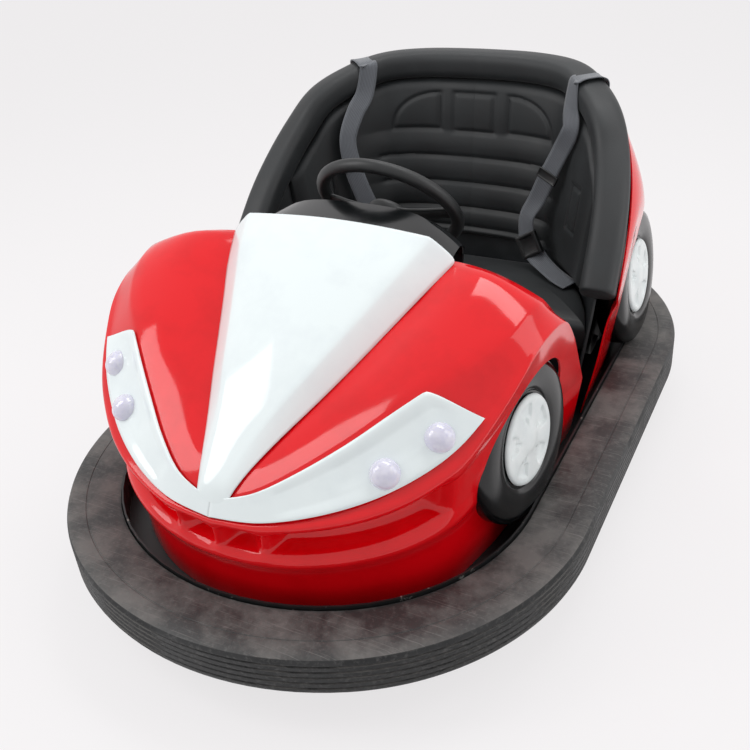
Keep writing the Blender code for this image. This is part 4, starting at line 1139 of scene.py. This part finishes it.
def makeBelt(word):
    run = beltRun(word)
    rows, places, length = [], [], 0.0
    for k, point in enumerate(run):
        width, ahead = widthAt(run, k)
        if k:
            length += (Vector(point[:3]) - Vector(run[k - 1][:3])).length
        row = []
        for j in range(belts["across"] + 1):
            across = (j / belts["across"] - 0.5) * belts["width"]
            cup = 0.0012 * (1 - (2 * j / belts["across"] - 1) ** 2)
            row.append(Vector(point[:3]) + width * across + width.cross(ahead) * cup)
            places.append((across, length))
        rows.append(row)
    bm = shapeGrid(rows)
    bm.verts.index_update()
    layer = bm.loops.layers.uv.new("ribbon")
    for face in bm.faces:
        for loop in face.loops:
            loop[layer].uv = places[loop.vert.index]
    piece = placePiece("seatBelt_" + word, bm, "webbing", "chassis", (), 60)
    addModifier(piece, "SOLIDIFY", thickness=belts["thick"], offset=0.0)
    first = 9 * belts["perSpan"]
    for title, at, size in (("beltAdjuster_", belts["adjusterAt"], (0.060, 0.026, 0.008)),
                            ("beltBuckle_", belts["buckleAt"], (0.058, 0.064, 0.016))):
        k = first + round(at * belts["perSpan"])
        width, ahead = widthAt(run, k)
        face = width.cross(ahead)
        turn = Matrix((width, ahead, face)).transposed().to_4x4()
        makeFitting(title + word, Matrix.Translation(run[k][:3]) @ turn, size)


def makeFitting(name, place, size):
    # moulded nylon block with a raised frame round a sunk face, front and back
    bm = bmesh.new()
    bmesh.ops.create_cube(bm, size=1.0)
    bmesh.ops.scale(bm, vec=size, verts=bm.verts)
    faces = [f for f in bm.faces if abs(f.normal.z) > 0.9]
    bmesh.ops.inset_individual(bm, faces=faces, thickness=size[1] * 0.20, depth=0.0)
    bmesh.ops.inset_individual(bm, faces=faces, thickness=0.001, depth=-size[2] * 0.22)
    bmesh.ops.bevel(bm, geom=bm.edges, offset=0.0012, segments=2, profile=0.5, affect="EDGES")
    bmesh.ops.transform(bm, matrix=place, verts=bm.verts)
    return placePiece(name, bm, "buckle", "chassis", (), 40)


for word in ("left", "right"):
    makeBelt(word)
print("belts made")


# ---- steering wheel: padded rim, dished hub and three broad spokes, on its shaft ----
steer = {
    "centre": (0.0, 0.020, 0.670),
    "tilt": 37.5,               # degrees of the shaft above level
    "rim": 0.165,
    "tube": 0.0155,
    "shaft": 0.011,
    "shaftEnd": 0.483,
    "hub": 0.047,
    "spokes": (0, 90, 180),     # degrees, the middle one towards the rider
}


def makeSteeringWheel():
    tilt = math.radians(steer["tilt"])
    axis = Vector((0.0, math.cos(tilt), math.sin(tilt)))
    turn = Vector((0, 0, 1)).rotation_difference(axis).to_matrix().to_4x4()
    place = Matrix.Translation(steer["centre"]) @ turn
    rim, tube = steer["rim"], steer["tube"]
    ring = [(rim + tube * math.cos(2 * math.pi * k / 20), tube * math.sin(2 * math.pi * k / 20))
            for k in range(20)]
    bm = spinProfile(ring + ring[:1], Matrix.Identity(4), 96)
    hub = steer["hub"]
    core = ((0.0, -steer["shaftEnd"]), (steer["shaft"], -steer["shaftEnd"]), (steer["shaft"], -0.034),
            (hub - 0.012, -0.034), (hub - 0.002, -0.030), (hub, -0.018), (hub - 0.003, -0.010),
            (hub - 0.012, -0.006), (0.022, -0.0085), (0.0, -0.0085))
    middle = spinProfile(core, Matrix.Identity(4), 64)
    parts = [middle]
    for degrees in steer["spokes"]:
        spoke = bmesh.new()
        stations = ((0.030, 0.032, -0.023), (0.060, 0.027, -0.020), (0.100, 0.021, -0.012),
                    (0.135, 0.019, -0.004), (rim - 0.002, 0.022, 0.0))
        loops = []
        for away, halfWide, z in stations:
            thick = 0.0065
            ringVerts = [spoke.verts.new((away, halfWide * c, z + thick * t))
                         for c, t in (squared(2 * math.pi * k / 20, 2.8) for k in range(20))]
            loops.append([spoke.edges.new((ringVerts[k - 1], ringVerts[k])) for k in range(20)])
        for first, second in zip(loops, loops[1:]):
            bmesh.ops.bridge_loops(spoke, edges=first + second)
        bmesh.ops.holes_fill(spoke, edges=[e for e in spoke.edges if e.is_boundary])
        bmesh.ops.recalc_face_normals(spoke, faces=spoke.faces)
        bmesh.ops.rotate(spoke, verts=spoke.verts, cent=(0, 0, 0),
                         matrix=Matrix.Rotation(math.radians(degrees), 3, "Z"))
        parts.append(spoke)
    for part in parts:
        mesh = bpy.data.meshes.new("wheelPart")
        part.to_mesh(mesh)
        part.free()
        bm.from_mesh(mesh)
        bpy.data.meshes.remove(mesh)
    bmesh.ops.transform(bm, matrix=place, verts=bm.verts)
    placePiece("steeringWheelGrip", bm, "grip", bodyOf("steering_wheel"), ("steering_wheel",), 50)


makeSteeringWheel()
print("steering wheel made")

softenNode("rear_body", "rearShell", 2, 40)
softenNode("seat_tub", "seatTubShell", 1, 50)
softenNode("dash_cowl", "dashVisor", 2, 45)
print("rear shell, tub and dash smoothed")
